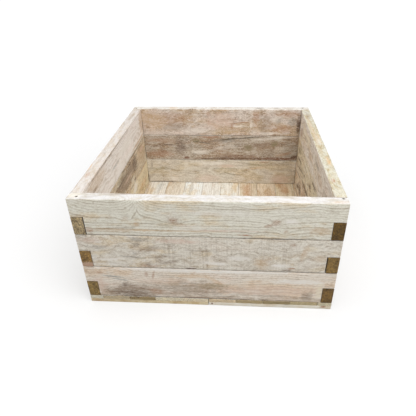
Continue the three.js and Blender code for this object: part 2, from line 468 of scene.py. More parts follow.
def polyline(bench, place, stops):
    """A value that runs straight from stop to stop. Each stop is (place, value)."""
    total = stops[0][1]
    for (low, start), (high, end) in zip(stops, stops[1:]):
        rise = end - start
        if isinstance(rise, Wire) or abs(rise) > 0:
            total = bench.ramp(place, low, high, 0, rise) + total
    return total


def screw_outline(bench, given, angle, row, rows):
    """A screw's radius and its depth below its head's face, row by row from the recess to the point."""
    head, shank = given["Head"] / 2, given["Shank"] / 2
    lobe = head * LOBE_REACH * (bench.maths("COSINE", angle * LOBES) * LOBE_SWING + 1)
    recess = head * RECESS_DEEP
    core = shank * CORE
    taper = rows - given["Point"] / given["Thread"] * given["Thread Rows"]
    radius = polyline(bench, row, [
        (0, 0.0), (1, lobe), (2, lobe), (3, head - HEAD_ARRIS), (4, head), (5, head), (6, shank), (7, shank),
        (HEAD_ROWS, core), (taper, core), (rows, 0.0),
    ])
    thread_top = given["Length"] - given["Thread"]
    depth = polyline(bench, row, [
        (0, recess), (1, recess), (2, 0.0), (3, 0.0), (4, HEAD_ARRIS), (5, HEAD_RIM),
        (6, HEAD_RIM + head - shank), (7, thread_top - RUN_IN), (HEAD_ROWS, thread_top),
        (rows, given["Length"]),
    ])
    turn = bench.maths("FRACT", depth / given["Pitch"] - angle / math.tau)
    ridge = bench.ramp(bench.maths("ABSOLUTE", turn - 0.5), 0.0, 0.3, 1, 0)
    threaded = bench.ramp(row, HEAD_ROWS, HEAD_ROWS + 2) * bench.ramp(row, rows - 6, rows - 1, 1, 0)
    return radius + ridge * threaded * (shank - core), depth


# %% The screw tree
def screw_tree():
    """A screw on each point that it is given, with its head's face at the point."""
    floats = "Float: Head, Shank, Length, Thread, Pitch, Point"
    bench, given = new_tree("screws", [floats, "Int: Thread Rows, Seed", "Bool: Upward"])
    rows = given["Thread Rows"] + HEAD_ROWS
    grid, column, row = step_grid(bench, AROUND, rows)
    angle = column * (math.tau / AROUND)
    radius, depth = screw_outline(bench, given, angle, row, rows)
    where = bench.point(radius * bench.maths("COSINE", angle), radius * bench.maths("SINE", angle), -depth)
    shape = flipped(bench, welded(bench, moved(bench, grid, "Position", where), WELD / 10))

    # Each copy turned by chance about its axis, after it is stood on its head where it goes upwards.
    sockets = {3: math.tau, "Seed": given["Seed"]}
    chance = bench.make("FunctionNodeRandomValue", {"data_type": "FLOAT"}, sockets, 1)
    turn = bench.point(given["Upward"] * math.pi, 0.0, chance)
    turned = bench.make("FunctionNodeEulerToRotation", None, {0: turn})
    sockets = {"Points": given["Geometry"], "Instance": shape, "Rotation": turned}
    copies = bench.make("GeometryNodeInstanceOnPoints", None, sockets)
    return end_tree(bench, copies, given["Material"])


SCREWS = screw_tree()
print("screw tree:", len(SCREWS.nodes), "nodes")


# %% Plain meshes from modifiers
def plain_mesh(piece, name, material):
    """What the modifiers make of a piece, as a mesh of its own with one material."""
    graph = bpy.context.evaluated_depsgraph_get()
    mesh = bpy.data.meshes.new_from_object(piece.evaluated_get(graph))
    mesh.name = name
    for spent in ("bevel_weight_edge", "material_index"):
        if spent in mesh.attributes:
            mesh.attributes.remove(mesh.attributes[spent])
    mesh.materials.clear()
    mesh.materials.append(material)
    return mesh


def new_piece(name, mesh):
    piece = bpy.data.objects.new(name, mesh)
    bpy.context.scene.collection.objects.link(piece)
    return piece


def finish_piece(piece, nodes):
    """Puts the piece under its body and hides the CAD nodes that it takes the place of."""
    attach(piece, BODY)
    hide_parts(*nodes)
    return piece


# %% [markdown]
# ## Where the screws go, and their holes
#
# A screw node's box gives everything: its middle is the axis, its upper or lower end is the head's face,
# and its height is the length. A timber is bored for every screw whose box meets its own. The holes are
# lathe-turned plugs, a little larger than the screws, and the wear tree subtracts them.

# %% Read the screws
Screw = namedtuple("Screw", "name axis face upward length head shank point")
CORNER_SCREW = (9.5 * MM, 5.5 * MM, 12 * MM)  # head and shank across, and the length of the point
FLOOR_SCREW = (9 * MM, 4.5 * MM, 8 * MM)


def read_screw(name):
    low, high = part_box(name)
    corner = name.startswith("corner")
    upward = not corner or "_bottom_" in name
    face = low.z if upward else high.z
    axis = (low + high).to_2d() / 2
    return Screw(name, axis, face, upward, high.z - low.z, *(CORNER_SCREW if corner else FLOOR_SCREW))


screws = [read_screw(name) for name in sorted(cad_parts) if "screw" in name]
print(len(screws), "screws, lengths in mm:", sorted({round(s.length / MM) for s in screws}))


# %% Plugs for the holes
PLUG_SIDES = 28
CLEARANCE = 0.15 * MM
MOUTH = 4 * MM  # how far a plug stands out past a screw's head, so that it cuts clean through the face


def lathe(shape, outline, place):
    """Adds a closed turned solid to a bmesh. The outline runs from axis to axis as (radius, height)."""
    rings = []
    for radius, height in outline:
        if radius == 0:
            rings.append([shape.verts.new(place @ Vector((0, 0, height)))])
            continue
        angles = [math.tau * i / PLUG_SIDES for i in range(PLUG_SIDES)]
        points = [Vector((radius * math.cos(a), radius * math.sin(a), height)) for a in angles]
        rings.append([shape.verts.new(place @ point) for point in points])
    for ring, following in zip(rings, rings[1:]):
        for i in range(PLUG_SIDES):
            corners = [ring[i % len(ring)], ring[(i + 1) % len(ring)]]
            corners += [following[(i + 1) % len(following)], following[i % len(following)]]
            shape.faces.new(list(dict.fromkeys(corners)))


def plugs(near, to_local):
    """One object with a plug for each of the screws, in a timber's own coordinates."""
    shape = bmesh.new()
    for screw in near:
        head, shank = screw.head / 2 + CLEARANCE, screw.shank / 2 + CLEARANCE
        cone = HEAD_RIM + (screw.head - screw.shank) / 2
        outline = [(0, MOUTH), (head, MOUTH), (head, -HEAD_RIM), (shank, -cone)]
        outline += [(shank, screw.point - screw.length), (0, -screw.length - CLEARANCE)]
        turn = Matrix.Rotation(math.pi, 4, "X") if screw.upward else Matrix.Identity(4)
        place = Matrix.Translation((screw.axis.x, screw.axis.y, screw.face)) @ turn
        lathe(shape, outline, to_local @ place)
    bmesh.ops.recalc_face_normals(shape, faces=shape.faces)
    mesh = bpy.data.meshes.new("plugs")
    shape.to_mesh(mesh)
    shape.free()
    return bpy.data.objects.new("plugs", mesh)


# %% [markdown]
# ## The wood
#
# Under its bleached skin every timber is a piece of a log, and the log is a set of rings round a heart that
# wanders a little. So the grain is worked out in space, as distance from the heart line counted in rings,
# and not painted on a face. The same rings then run along the faces, turn down over the arrises and come out
# as arcs on the end grain, and a knot pushes them aside as a branch did. An image would fit the photo's face
# and smear on all the others.
#
# On top of the rings lie fibres, drying cracks, saw marks across the board, and the blotches and stains that
# weather leaves. All of it is counted in millimetres along the timber, up or across it, and through it. Each
# layer is a node group, made once, which every timber's material then uses with its own numbers.

# %% Helpers for materials
def paint(code):
    """A colour written as on a paint chart, #rrggbb, in the linear values that shaders use."""
    shares = [int(code[i:i + 2], 16) / 255 for i in (1, 3, 5)]
    return tuple(v / 12.92 if v <= 0.04045 else ((v + 0.055) / 1.055) ** 2.4 for v in shares)


def new_material(name):
    material = bpy.data.materials.new(name)
    material.use_nodes = True
    material.node_tree.nodes.clear()
    return material, Bench(material.node_tree)


def end_material(bench, colour, roughness, height, depth, metallic=0.0):
    """The usual shader and output, with a bump from a height between 0 and 1."""
    sockets = {"Strength": 1.0, "Distance": depth, "Height": height}
    bump = bench.make("ShaderNodeBump", None, sockets)
    sockets = {"Base Color": colour, "Roughness": roughness, "Metallic": metallic, "Normal": bump}
    shader = bench.make("ShaderNodeBsdfPrincipled", None, sockets)
    bench.add("ShaderNodeOutputMaterial", None, {"Surface": shader})


def new_layer(name, inputs, outputs):
    """An empty layer, whose inputs and outputs are written as open_tree takes them."""
    return open_tree("ShaderNodeTree", name, inputs, outputs)


def end_layer(bench, results):
    bench.add("NodeGroupOutput", None, results)
    return bench.tree


def use_layer(bench, layer, values):
    """The layer's outputs by name, for the given inputs."""
    node = bench.add("ShaderNodeGroup", {"node_tree": layer}, values)
    return {socket.name: bench.out(node, socket.name) for socket in node.outputs}


def stretched(bench, given, along, across, detail=3.0, roughness=0.55, shift=0.0, colour=False):
    """Noise drawn out along the timber. The shift gives each use a part of the noise to itself."""
    s, t, n = bench.parts(given["Place"])
    where = bench.point(s * along + (given["Seed"] + shift), t * across, n * across)
    return bench.noise(where, 1.0, detail, roughness, colour)


# %% Tints and shades
# The soot tint colours the cracks and some dark spots. It is also painted shade: thin lines along the wall
# boards' seams, and in the joints at a runner's and a plank's ends.
TINTS = {
    "rust": paint("#a67a5a"), "tan": paint("#c2a480"), "amber": paint("#cfa878"), "ash": paint("#9b948a"),
    "taupe": paint("#917e6b"), "umber": paint("#675141"), "milk": paint("#efeae2"), "cream": paint("#eadfc8"),
    "olive": paint("#8c8163"), "slate": paint("#999b98"), "rose": paint("#d8bdab"), "soot_and_shade": paint("#554c41"),
    "bark": paint("#7a5846"),
}
SHADES = {  # what the wood's own colour is multiplied by, where each of these lies on it
    "late wood": (0.54, 0.46, 0.38), "blotch": (0.64, 0.56, 0.49), "bite": (0.58, 0.51, 0.44),
    "saw mark": (0.66, 0.62, 0.58), "speck": (0.55, 0.50, 0.44), "pink": (1.02, 0.93, 0.90),
    # Of these, seam is dirt and painted shade along the seams, and lap is painted shade inside the laps.
    "whorl": (0.58, 0.50, 0.43), "seam": (0.32, 0.27, 0.22), "lap": (0.30, 0.26, 0.22),
    "end ring": (0.55, 0.48, 0.40), "pore": (0.50, 0.46, 0.40), "wet patch": (0.55, 0.50, 0.43),
    "dry patch": (1.65, 1.61, 1.50), "pale fleck": (1.80, 1.76, 1.62), "dark fleck": (0.46, 0.43, 0.38),
}


def shade(bench, share, colour, name):
    """The colour, and its shade in the share where the named thing lies."""
    return bench.blend(share, colour, colour * SHADES[name])


# %% Layer one: the rings
def heart_layer():
    """How far the heart of the log lies above its mean place, at each place along the timber."""
    bench, given = new_layer("heart line", ["Vector: Place", "Float: Seed, Lean, Wander"], ["Float: Lift"])
    s, t, _ = bench.parts(given["Place"])
    drift = bench.noise(bench.point(s * 0.0024, given["Seed"], 0.0), 1.0, 1.0) - 0.5
    swerve = bench.noise(bench.point(s * 0.012, given["Seed"] + 7.7, t * 0.006), 1.0, 1.0) - 0.5
    lift = s * given["Lean"] + (drift * 2.4 + swerve * 0.55) * given["Wander"]
    return end_layer(bench, {"Lift": lift})


def sway_layer():
    """A place where the grain climbs to a peak, as beside a branch that was cut away."""
    inputs = ["Vector: Place", "Float: Before, Along, Width, Height, From, To"]
    bench, given = new_layer("sway", inputs, ["Float: Lift"])
    s, t, _ = bench.parts(given["Place"])
    far = bench.maths("ABSOLUTE", s - given["Along"]) / given["Width"]
    bend = bench.maths("EXPONENT", -far) * given["Height"]
    bend = bend * bench.ramp(t, given["From"], given["To"], smooth=True)
    return end_layer(bench, {"Lift": given["Before"] + bend})


def radius_layer():
    """How far a point lies from the heart, with the ruffles that real rings have."""
    inputs = ["Vector: Place, Heart", "Float: Seed, Lift, Wander"]
    bench, given = new_layer("ring radius", inputs, ["Float: Radius"])
    s, t, n = bench.parts(given["Place"] - given["Heart"])
    ruffle = stretched(bench, given, 0.006, 0.035, 3.0, 0.55) - 0.5
    radius = bench.length(bench.point(t - given["Lift"], n, 0.0)) + ruffle * given["Wander"] * 0.75
    return end_layer(bench, {"Radius": radius})


def swell_layer():
    """The rings bulge round a knot."""
    bench, given = new_layer("swell", ["Vector: Place, Knot", "Float: Before, Size"], ["Float: Radius"])
    off = (given["Place"] - given["Knot"]) * (1 / 2.6, 1 / 1.5, 0.0)
    near = bench.length(off) / given["Size"]
    swell = bench.maths("EXPONENT", -(near * near)) * given["Size"] * 1.5
    return end_layer(bench, {"Radius": given["Before"] + swell})


def swirl_layer():
    """Moves places about, so that all that is drawn from them curls as the wood of a crooked log does."""
    bench, given = new_layer("swirl", ["Vector: Place", "Float: Seed, Swirl"], ["Vector: Place"])
    curl = stretched(bench, given, 0.012, 0.020, 2.0, 0.5, 101, colour=True) - (0.5, 0.5, 0.5)
    return end_layer(bench, {"Place": given["Place"] + curl * given["Swirl"]})


SWIRL, HEART, SWAY = swirl_layer(), heart_layer(), sway_layer()
RADIUS, SWELL = radius_layer(), swell_layer()


# %% Layer two: the bleached skin
SKIN_NOISES = {  # steps a millimetre along and across, detail, roughness and shift
    "cloud": (0.0055, 0.016, 2.0, 0.55, 3), "blotch": (0.022, 0.050, 5.0, 0.65, 9),
    "fine": (0.075, 0.30, 4.0, 0.7, 13), "grit": (0.16, 0.27, 4.0, 0.75, 37),
    "streak": (0.009, 0.20, 4.0, 0.65, 17), "fibre": (0.035, 1.15, 3.0, 0.6, 29),
    "speck": (0.22, 0.42, 2.0, 0.6, 41),
}
SAW_FADE = (60, 40)  # millimetres outside and inside the sawn stretch over which its marks fade


def skin_layer():
    """A planed face as the weather leaves it, from wide patches down to specks."""
    inputs = ["Vector: Place, Straight", "Float: Seed, Rings, Rim, Saw From, Saw To",
              "Float: Warmth, Grain, Mottle, Bite, Streaks, Pink, Sawn, Cracks",
              "Color: Cool, Warm, Rim Cool, Rim Warm"]
    outputs = ["Color: Color", "Float: Late, Fibre, Streak, Crack, Sawn, Fine"]
    bench, given = new_layer("skin", inputs, outputs)
    noises = [stretched(bench, given, *numbers) for numbers in SKIN_NOISES.values()]
    cloud, blotch, fine, grit, streak, fibre, speck = noises

    # The dark line at the end of each year comes on slowly and stops at once, and no two are alike.
    phase = bench.maths("FRACT", given["Rings"])
    late = bench.ramp(phase, 0.30, 0.86, smooth=True) * bench.ramp(phase, 0.92, 1.0, 1, 0)
    number = bench.maths("FLOOR", given["Rings"])
    year = bench.make("ShaderNodeTexWhiteNoise", {"noise_dimensions": "1D"}, {"W": number})
    late = late * bench.ramp(year, 0, 1, 0.25, 1)

    # Cooler and warmer patches, then the years' lines, bleached and darker streaks, blotches and fibres.
    edge = 0.80 - given["Warmth"] * 0.34
    mix = bench.ramp(cloud + (blotch - 0.5) * 0.45, edge - 0.16, edge + 0.02, smooth=True)
    colour = bench.blend(mix, given["Cool"], given["Warm"])
    rosy = bench.ramp(stretched(bench, given, 0.008, 0.03, 3.0, shift=53), 0.5, 0.68, smooth=True)
    colour = shade(bench, rosy * given["Pink"], colour, "pink")
    rim = bench.blend(bench.ramp(blotch, 0.4, 0.65, smooth=True), given["Rim Cool"], given["Rim Warm"])
    colour = bench.blend(given["Rim"], colour, rim)
    grain = given["Grain"] * bench.ramp(given["Rim"], 0, 1, 1, 0.45)
    colour = shade(bench, late * grain, colour, "late wood")
    dark = bench.ramp(blotch + (fine - 0.5) * 0.5, 0.50, 0.74, smooth=True) * given["Mottle"]
    colour = shade(bench, dark, colour, "blotch")
    bite = given["Bite"] * bench.ramp(given["Rim"], 0, 1, 1, 0.5)
    bites = ((streak, given["Streaks"]), (blotch, 0.28), (fine, 0.42), (grit, 0.52), (fibre, 0.28))
    for noise, share in bites:
        deep = bench.ramp(noise, 0.50, 0.74) * bite * share
        colour = shade(bench, deep, colour, "bite")
        pale = bench.ramp(noise, 0.26, 0.48, 1, 0) * bite * share
        colour = bench.blend(pale, colour, TINTS["milk"])

    # Saw marks stand across the board and fade in and out along it.
    s, t, n = bench.parts(given["Straight"])
    tooth = bench.noise(bench.point(s * 0.16 + given["Seed"], t * 0.004, n * 0.02), 1.0, 1.0)
    outside, inside = SAW_FADE
    span = bench.ramp(s, given["Saw From"] - outside, given["Saw From"] + inside)
    span = span * bench.ramp(s, given["Saw To"] - inside, given["Saw To"] + outside, 1, 0)
    sawn = bench.ramp(tooth, 0.50, 0.68) * span * given["Sawn"] * bench.ramp(fine + cloud, 0.8, 1.2, 0.3, 1)
    colour = shade(bench, sawn, colour, "saw mark")

    # Cracks follow the level lines of a long noise, so they run with the grain, thin and never closed.
    level = bench.maths("ABSOLUTE", stretched(bench, given, 0.0028, 0.075, 2.0, shift=71) - 0.5)
    some = bench.ramp(stretched(bench, given, 0.012, 0.02, 1.0, shift=83), 0.54, 0.60)
    crack = bench.ramp(level, 0.0, 0.006, 1, 0) * some * given["Cracks"]
    colour = bench.blend(crack, colour, TINTS["soot_and_shade"])
    colour = shade(bench, bench.ramp(speck, 0.64, 0.78, 0, 0.45), colour, "speck")
    results = {"Color": colour, "Late": late, "Fibre": fibre, "Streak": streak, "Fine": fine}
    return end_layer(bench, {**results, "Crack": crack, "Sawn": sawn})


SKIN = skin_layer()


# %% Layer three: stains and knots
def fray_layer():
    """What frays an outline along the grain: a coarse shift and a fine one."""
    bench, given = new_layer("fray", ["Vector: Place", "Float: Seed"], ["Vector: Fray"])
    coarse = stretched(bench, given, 0.022, 0.06, 3.0, 0.6, 61, colour=True) - (0.5, 0.5, 0.5)
    fine = stretched(bench, given, 0.10, 0.32, 3.0, 0.65, 67, colour=True) - (0.5, 0.5, 0.5)
    return end_layer(bench, {"Fray": coarse * 1.4 + fine * 2.0})


def stain_layer():
    """An oval stain with a frayed outline, over the colour under it."""
    inputs = ["Vector: Place, Fray, Middle, Size", "Float: Slope, Share, Fine, Streak", "Color: Under, Tint"]
    bench, given = new_layer("stain", inputs, ["Color: Color"])
    s, t, _ = bench.parts(given["Place"] - given["Middle"])
    off = bench.vectors("DIVIDE", bench.point(s, t - s * given["Slope"], 0.0), given["Size"])
    reach = bench.length(off + given["Fray"] * (0.75, 0.75, 0.0))
    mask = bench.ramp(reach, 0.40, 1.20, 1, 0, smooth=True) * given["Share"]
    mask = mask * bench.ramp(given["Fine"] + given["Streak"], 0.74, 1.22, 0.35, 1.6)
    return end_layer(bench, {"Color": bench.blend(mask, given["Under"], given["Tint"])})


def knot_layer():
    """A knot's dark core, the whorls round it and a pale halo, over the colour under it."""
    inputs = ["Vector: Place, Fray, Middle", "Float: Size, Share, Fine", "Color: Under, Tint"]
    bench, given = new_layer("knot", inputs, ["Color: Color"])
    off = (given["Place"] - given["Middle"]) * (1.0, 1.2, 0.0)
    off = bench.vectors("SCALE", off, scale=1 / given["Size"])
    reach = bench.length(off + given["Fray"] * (0.95, 0.95, 0.0))
    share = given["Share"]
    halo = bench.ramp(reach, 1.0, 2.8, 0.2, 0, smooth=True)
    colour = bench.blend(halo * share, given["Under"], TINTS["milk"])
    core = bench.ramp(reach, 0.45, 1.6, 0.75, 0, smooth=True)
    core = core * bench.ramp(given["Fine"], 0.38, 0.62, 0.3, 1.15)
    colour = bench.blend(core * share, colour, given["Tint"])
    whorl = bench.ramp(bench.maths("FRACT", reach * 1.7 + given["Fine"]), 0.45, 0.80)
    whorl = whorl * bench.ramp(reach, 0.4, 3.4, 0.85, 0, smooth=True) * share
    return end_layer(bench, {"Color": shade(bench, whorl, colour, "whorl")})


def seam_layer():
    """Dirt and painted shade along the seams, and painted shade inside a lap, where no light or rain reaches.
    """
    floats = "Float: Seed, Low, High, Top, Shoulder, Tip, Side, End, Share, Fine"
    inputs = ["Vector: Place", floats, "Color: Under"]
    bench, given = new_layer("seams", inputs, ["Color: Color"])
    s, t, n = bench.parts(given["Place"])
    # Darker just above the board's lower edge and just below the seam over it: dirt and painted shade.
    seam = bench.ramp(t - given["Low"], 1.2, 3.8, 1, 0) + bench.ramp(given["High"] - t, 0.3, 1.6, 0.6, 0)
    patchy = stretched(bench, given, 0.012, 0.02, 3.0, 0.6, 91)
    seam = seam * bench.ramp(patchy + (given["Fine"] - 0.5) * 0.4, 0.34, 0.60, 0.25, 1) * given["Share"]
    colour = shade(bench, seam, given["Under"], "seam")
    # Painted shade inside the lap: on the tongue's hidden faces and on the shoulder's end grain, but not in
    # its top few millimetres.
    away = bench.maths("ABSOLUTE", s)
    inner = bench.ramp(away - given["Shoulder"], -2, 1) * bench.ramp(given["Side"] - n, 0.5, 2.5)
    shoulder = given["End"] * bench.ramp(given["Tip"] - away, 2, 4)
    lap = bench.maths("MAXIMUM", inner * (1 - given["End"]), shoulder) * bench.ramp(given["Top"] - t, 1, 3)
    return end_layer(bench, {"Color": shade(bench, lap, colour, "lap")})


FRAY, STAIN, KNOT, SEAM = fray_layer(), stain_layer(), knot_layer(), seam_layer()


# %% Layer four: end grain, and the height for the bump
def end_layer_of_timber():
    """End grain drinks water and goes dark and greenish, with the years as arcs and pores as specks."""
    floats = "Float: Seed, End, Fleck, Late, Fibre, Streak, Crack, Sawn, Fine, Grain"
    inputs = ["Vector: Place", floats, "Color: Under, Tone"]
    bench, given = new_layer("end grain", inputs, ["Color: Color", "Float: Height, Roughness"])
    s, t, n = bench.parts(given["Place"])
    pores = bench.noise(bench.point(s * 0.05, t * 0.9, n * 0.9), 1.0, 3.0, 0.6)
    patch = bench.noise(bench.point(s * 0.02 + given["Seed"], t * 0.05, n * 0.05), 1.0, 4.0, 0.65)
    fleck = bench.noise(bench.point(s * 0.02 + given["Seed"], t * 0.14, n * 0.24), 1.0, 4.0, 0.7)
    late, tone, much = given["Late"], given["Tone"], given["Fleck"]
    tone = shade(bench, late * 0.55, tone, "end ring")
    tone = shade(bench, bench.ramp(pores, 0.45, 0.72, 0, 0.6), tone, "pore")
    tone = shade(bench, bench.ramp(patch, 0.46, 0.62, 0, 0.7, smooth=True) * much, tone, "dry patch")
    tone = shade(bench, bench.ramp(patch, 0.32, 0.46, 0.7, 0, smooth=True) * much, tone, "wet patch")
    tone = shade(bench, bench.ramp(fleck, 0.48, 0.62, 0, 0.8) * much, tone, "pale fleck")
    tone = shade(bench, bench.ramp(fleck, 0.34, 0.48, 0.9, 0) * much, tone, "dark fleck")
    colour = bench.blend(given["End"], given["Under"], tone)
    height = late * given["Grain"] * 0.30 + (1 - given["Fibre"]) * 0.35 + (1 - given["Streak"]) * 0.35
    height = height + (1 - given["Crack"]) * 0.5 - given["Sawn"] * 0.25 + (1 - given["Fine"]) * 0.3
    height = height - bench.ramp(pores, 0.4, 0.7) * given["End"] * 0.5
    roughness = bench.ramp(given["Streak"], 0.3, 0.7, 0.72, 0.9)
    return end_layer(bench, {"Color": colour, "Height": height, "Roughness": roughness})


END_GRAIN = end_layer_of_timber()


# %% What differs from timber to timber
# Places are (along, across) in the bed's millimetres: x or y along, and z, or x on a plank, across.
Knot = namedtuple("Knot", "along across radius tint share", defaults=(1.0,))
Stain = namedtuple("Stain", "along across long high tint share slope", defaults=(0.0,))
Sway = namedtuple("Sway", "along width lift")
PICKS = {"end wall": (0, 1, 2), "side wall": (1, 0, 2), "plank": (1, 2, 0), "runner": (0, 2, 1)}
PLAIN = {
    "cool": "#d6cfc2", "warm": "#d8c6a8", "rim": ("#dcd8d2", "#d6cbbb"), "ends": ("#87764f", "#807048"),
    "heart": (-60, -45), "spacing": 7.5, "lean": 10, "wander": 8, "grain": 0.45, "warmth": 0.5, "mottle": 0.4,
    "sways": (), "knots": (), "stains": (), "rim_stains": (), "sawn": 0.15, "saw_span": (-450, 450),
    "cracks": 0.5, "pink": 0.25, "sway_span": (-900, -800), "bite": 1.0, "streaks": 0.3, "seams": 0.8,
    "end_stains": (), "swirl": 10,
}


# %% One timber's years
def years(bench, place, seed, look, across):
    """The places with the grain's curls in them, and how many years from the heart the wood there grew."""
    curled = use_layer(bench, SWIRL, {"Place": place, "Seed": seed, "Swirl": look["swirl"]})["Place"]
    values = {"Place": curled, "Seed": seed, "Wander": look["wander"]}
    lift = use_layer(bench, HEART, {**values, "Lean": look["lean"] / 1000})["Lift"]
    for sway in look["sways"]:
        sizes = {"Along": sway.along, "Width": sway.width, "Height": sway.lift}
        sizes.update({"From": look["sway_span"][0], "To": look["sway_span"][1]})
        lift = use_layer(bench, SWAY, {"Place": curled, "Before": lift, **sizes})["Lift"]
    heart = (0.0, across + look["heart"][0], look["heart"][1])
    radius = use_layer(bench, RADIUS, {**values, "Lift": lift, "Heart": heart})["Radius"]
    for knot in look["knots"]:
        sizes = {"Knot": (knot.along, knot.across, 0.0), "Size": knot.radius}
        radius = use_layer(bench, SWELL, {"Place": curled, "Before": radius, **sizes})["Radius"]
    return curled, radius / look["spacing"]


# %% One timber's skin
def skin_values(look):
    """The skin layer's inputs that a timber's look gives."""
    shares = ("warmth", "grain", "mottle", "bite", "streaks", "pink", "sawn", "cracks")
    values = {key.title(): look[key] for key in shares}
    values.update({"Saw From": look["saw_span"][0], "Saw To": look["saw_span"][1]})
    values.update({"Cool": paint(look["cool"]), "Warm": paint(look["warm"])})
    values.update({"Rim Cool": paint(look["rim"][0]), "Rim Warm": paint(look["rim"][1])})
    return values


# %% One timber's marks
def stained(bench, colour, stain, place, side, fray, skin):
    """The colour with a stain on it, on the side of the timber where side is 1."""
    values = {"Place": place, "Fray": fray, "Middle": (stain.along, stain.across, 0.0)}
    values.update({"Size": (stain.long, stain.high, 1.0), "Share": side * stain.share, "Slope": stain.slope})
    values.update({"Fine": skin["Fine"], "Streak": skin["Streak"]})
    return use_layer(bench, STAIN, {**values, "Under": colour, "Tint": TINTS[stain.tint]})["Color"]


def knotted(bench, colour, knot, place, side, fray, skin):
    """The colour with a knot in it, on the side of the timber where side is 1."""
    values = {"Place": place, "Fray": fray, "Middle": (knot.along, knot.across, 0.0), "Size": knot.radius}
    values.update({"Share": side * knot.share, "Fine": skin["Fine"]})
    return use_layer(bench, KNOT, {**values, "Under": colour, "Tint": TINTS[knot.tint]})["Color"]


# %% One timber's material
END_TURN = (0.55, 0.8)  # a face is end grain where this share of its normal points along the timber
RIM_TURN = (0.6, 0.85)
RUBBED = (1.5, 4)  # millimetres under the upper arris, where the ends of wall boards are rubbed pale
HALFWAY = (-5, 5)  # millimetres along, where one end's tone gives way to the other's
WALL_FLECK, FLOOR_FLECK = 1.0, 0.25
OUT_OF_REACH = 100  # the top course has no seam over it, so that seam is put this far above the board
BUMP = 0.5 * MM


def wood(name, lie, outward, look):
    """The material of one timber, from its CAD node's place, the way it lies and its look."""
    look = {**PLAIN, **look}
    seed = random.Random("grain of " + name).uniform(0, 60)
    low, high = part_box(name)
    middle = (low + high) / 2 / MM
    first, second, third = PICKS[lie]
    wall = lie.endswith("wall")
    material, bench = new_material("wood_" + name)
    source = bench.add("ShaderNodeTexCoord")
    here = bench.parts(bench.out(source, "Object") * (1 / MM))
    normal = bench.parts(bench.out(source, "Normal"))
    s, t, n = here[first], here[third], (here[second] - middle[second]) * outward
    place = bench.point(s, t, n)
    on_end = bench.ramp(bench.maths("ABSOLUTE", normal[first]), *END_TURN)
    if wall:
        on_end = on_end * bench.ramp(high[third] / MM - t, *RUBBED)
    on_rim = bench.ramp(bench.maths("ABSOLUTE", normal[third]), *RIM_TURN) * (1 - on_end)
    on_face = 1 - on_rim

    curled, rings = years(bench, place, seed, look, middle[third])
    values = {"Place": curled, "Straight": place, "Seed": seed, "Rings": rings, "Rim": on_rim}
    skin = use_layer(bench, SKIN, {**values, **skin_values(look)})
    colour = skin["Color"]
    fray = None
    if any(look[key] for key in ("stains", "rim_stains", "end_stains", "knots")):
        fray = use_layer(bench, FRAY, {"Place": place, "Seed": seed})["Fray"]
    for stain in look["stains"]:
        colour = stained(bench, colour, stain, place, on_face, fray, skin)
    for stain in look["rim_stains"]:
        colour = stained(bench, colour, stain, bench.point(s, n, 0.0), on_rim, fray, skin)
    for knot in look["knots"]:
        colour = knotted(bench, colour, knot, place, on_face, fray, skin)

    tone = bench.blend(bench.ramp(s, *HALFWAY), *[paint(code) for code in look["ends"]])
    values = {key: skin[key] for key in ("Late", "Fibre", "Streak", "Crack", "Sawn", "Fine")}
    values.update({"Place": place, "Seed": seed, "End": on_end, "Under": colour, "Tone": tone})
    values.update({"Fleck": WALL_FLECK if wall else FLOOR_FLECK, "Grain": look["grain"]})
    last = use_layer(bench, END_GRAIN, values)
    colour = last["Color"]
    on_front = on_end * bench.ramp(s, *HALFWAY, 1, 0)
    for stain in look["end_stains"]:
        colour = stained(bench, colour, stain, bench.point(n, t, 0.0), on_front, fray, skin)
    # Wall boards get dirt and painted shade along their seams, and painted shade inside their laps.
    if wall:
        top, tip, thick = high[third] / MM, high[first] / MM, BOARD_THICK / MM
        values = {"Place": place, "Seed": seed, "End": on_end, "Under": colour, "Fine": skin["Fine"]}
        seam = top + (OUT_OF_REACH if name.endswith("_top") else 0)
        values.update({"Low": low[third] / MM, "Top": top, "High": seam})
        values.update({"Shoulder": tip - thick, "Tip": tip, "Side": thick / 2, "Share": look["seams"]})
        colour = use_layer(bench, SEAM, values)["Color"]
    end_material(bench, colour, last["Roughness"], last["Height"], BUMP)
    return material


# %% [markdown]
# ## The timbers
#
# With the two trees, a timber is a name, a way of lying and a few numbers. Its centre and its size come from
# its CAD node. Real ends are never cut to the same length, so each is a little short by a random amount, from
# a fixed seed. The gap at a lap's shoulder is also the joiner's work: the side boards' shoulders are pulled
# tight, and two laps on the front stand open by some three millimetres.

# %% Ways of lying
def turn_of(along, through, across):
    """The rotation that takes a timber's own X, Y and Z to three world directions."""
    return Matrix((along, through, across)).transposed().to_4x4()


LIES = {
    "end wall": turn_of((1, 0, 0), (0, 1, 0), (0, 0, 1)),
    "side wall": turn_of((0, 1, 0), (1, 0, 0), (0, 0, -1)),
    "plank": turn_of((0, 1, 0), (0, 0, 1), (1, 0, 0)),
    "runner": turn_of((1, 0, 0), (0, 0, 1), (0, -1, 0)),
}
GRID = {"end wall": (190, 16, 8), "side wall": (190, 16, 8), "plank": (130, 8, 3), "runner": (56, 8, 3)}
ARRIS = {"end wall": 2.0 * MM, "side wall": 2.0 * MM, "plank": 0.7 * MM, "runner": 1.2 * MM}
SWELLING = 0.8 * MM  # damp planks have grown sideways and nearly closed their gaps
OPEN_SHOULDERS = {
    ("front_board_top", "Left Notch"): 3.2 * MM,
    ("front_board_middle", "Right Notch"): 3.4 * MM,
}

# %% Numbers for the two trees
SHORT = (0.1, 0.8)  # millimetres that an end may be short
CUP = (0.2, 0.7)  # millimetres that a wall board's face may be hollow
RIPPLE = 0.35 * MM
WALL_WEAR = {"Rub": 1.1 * MM, "Dent": 1.0 * MM}
FLOOR_WEAR = {"Rub": 0.5 * MM, "Dent": 0.4 * MM, "Cup": 0.1 * MM}


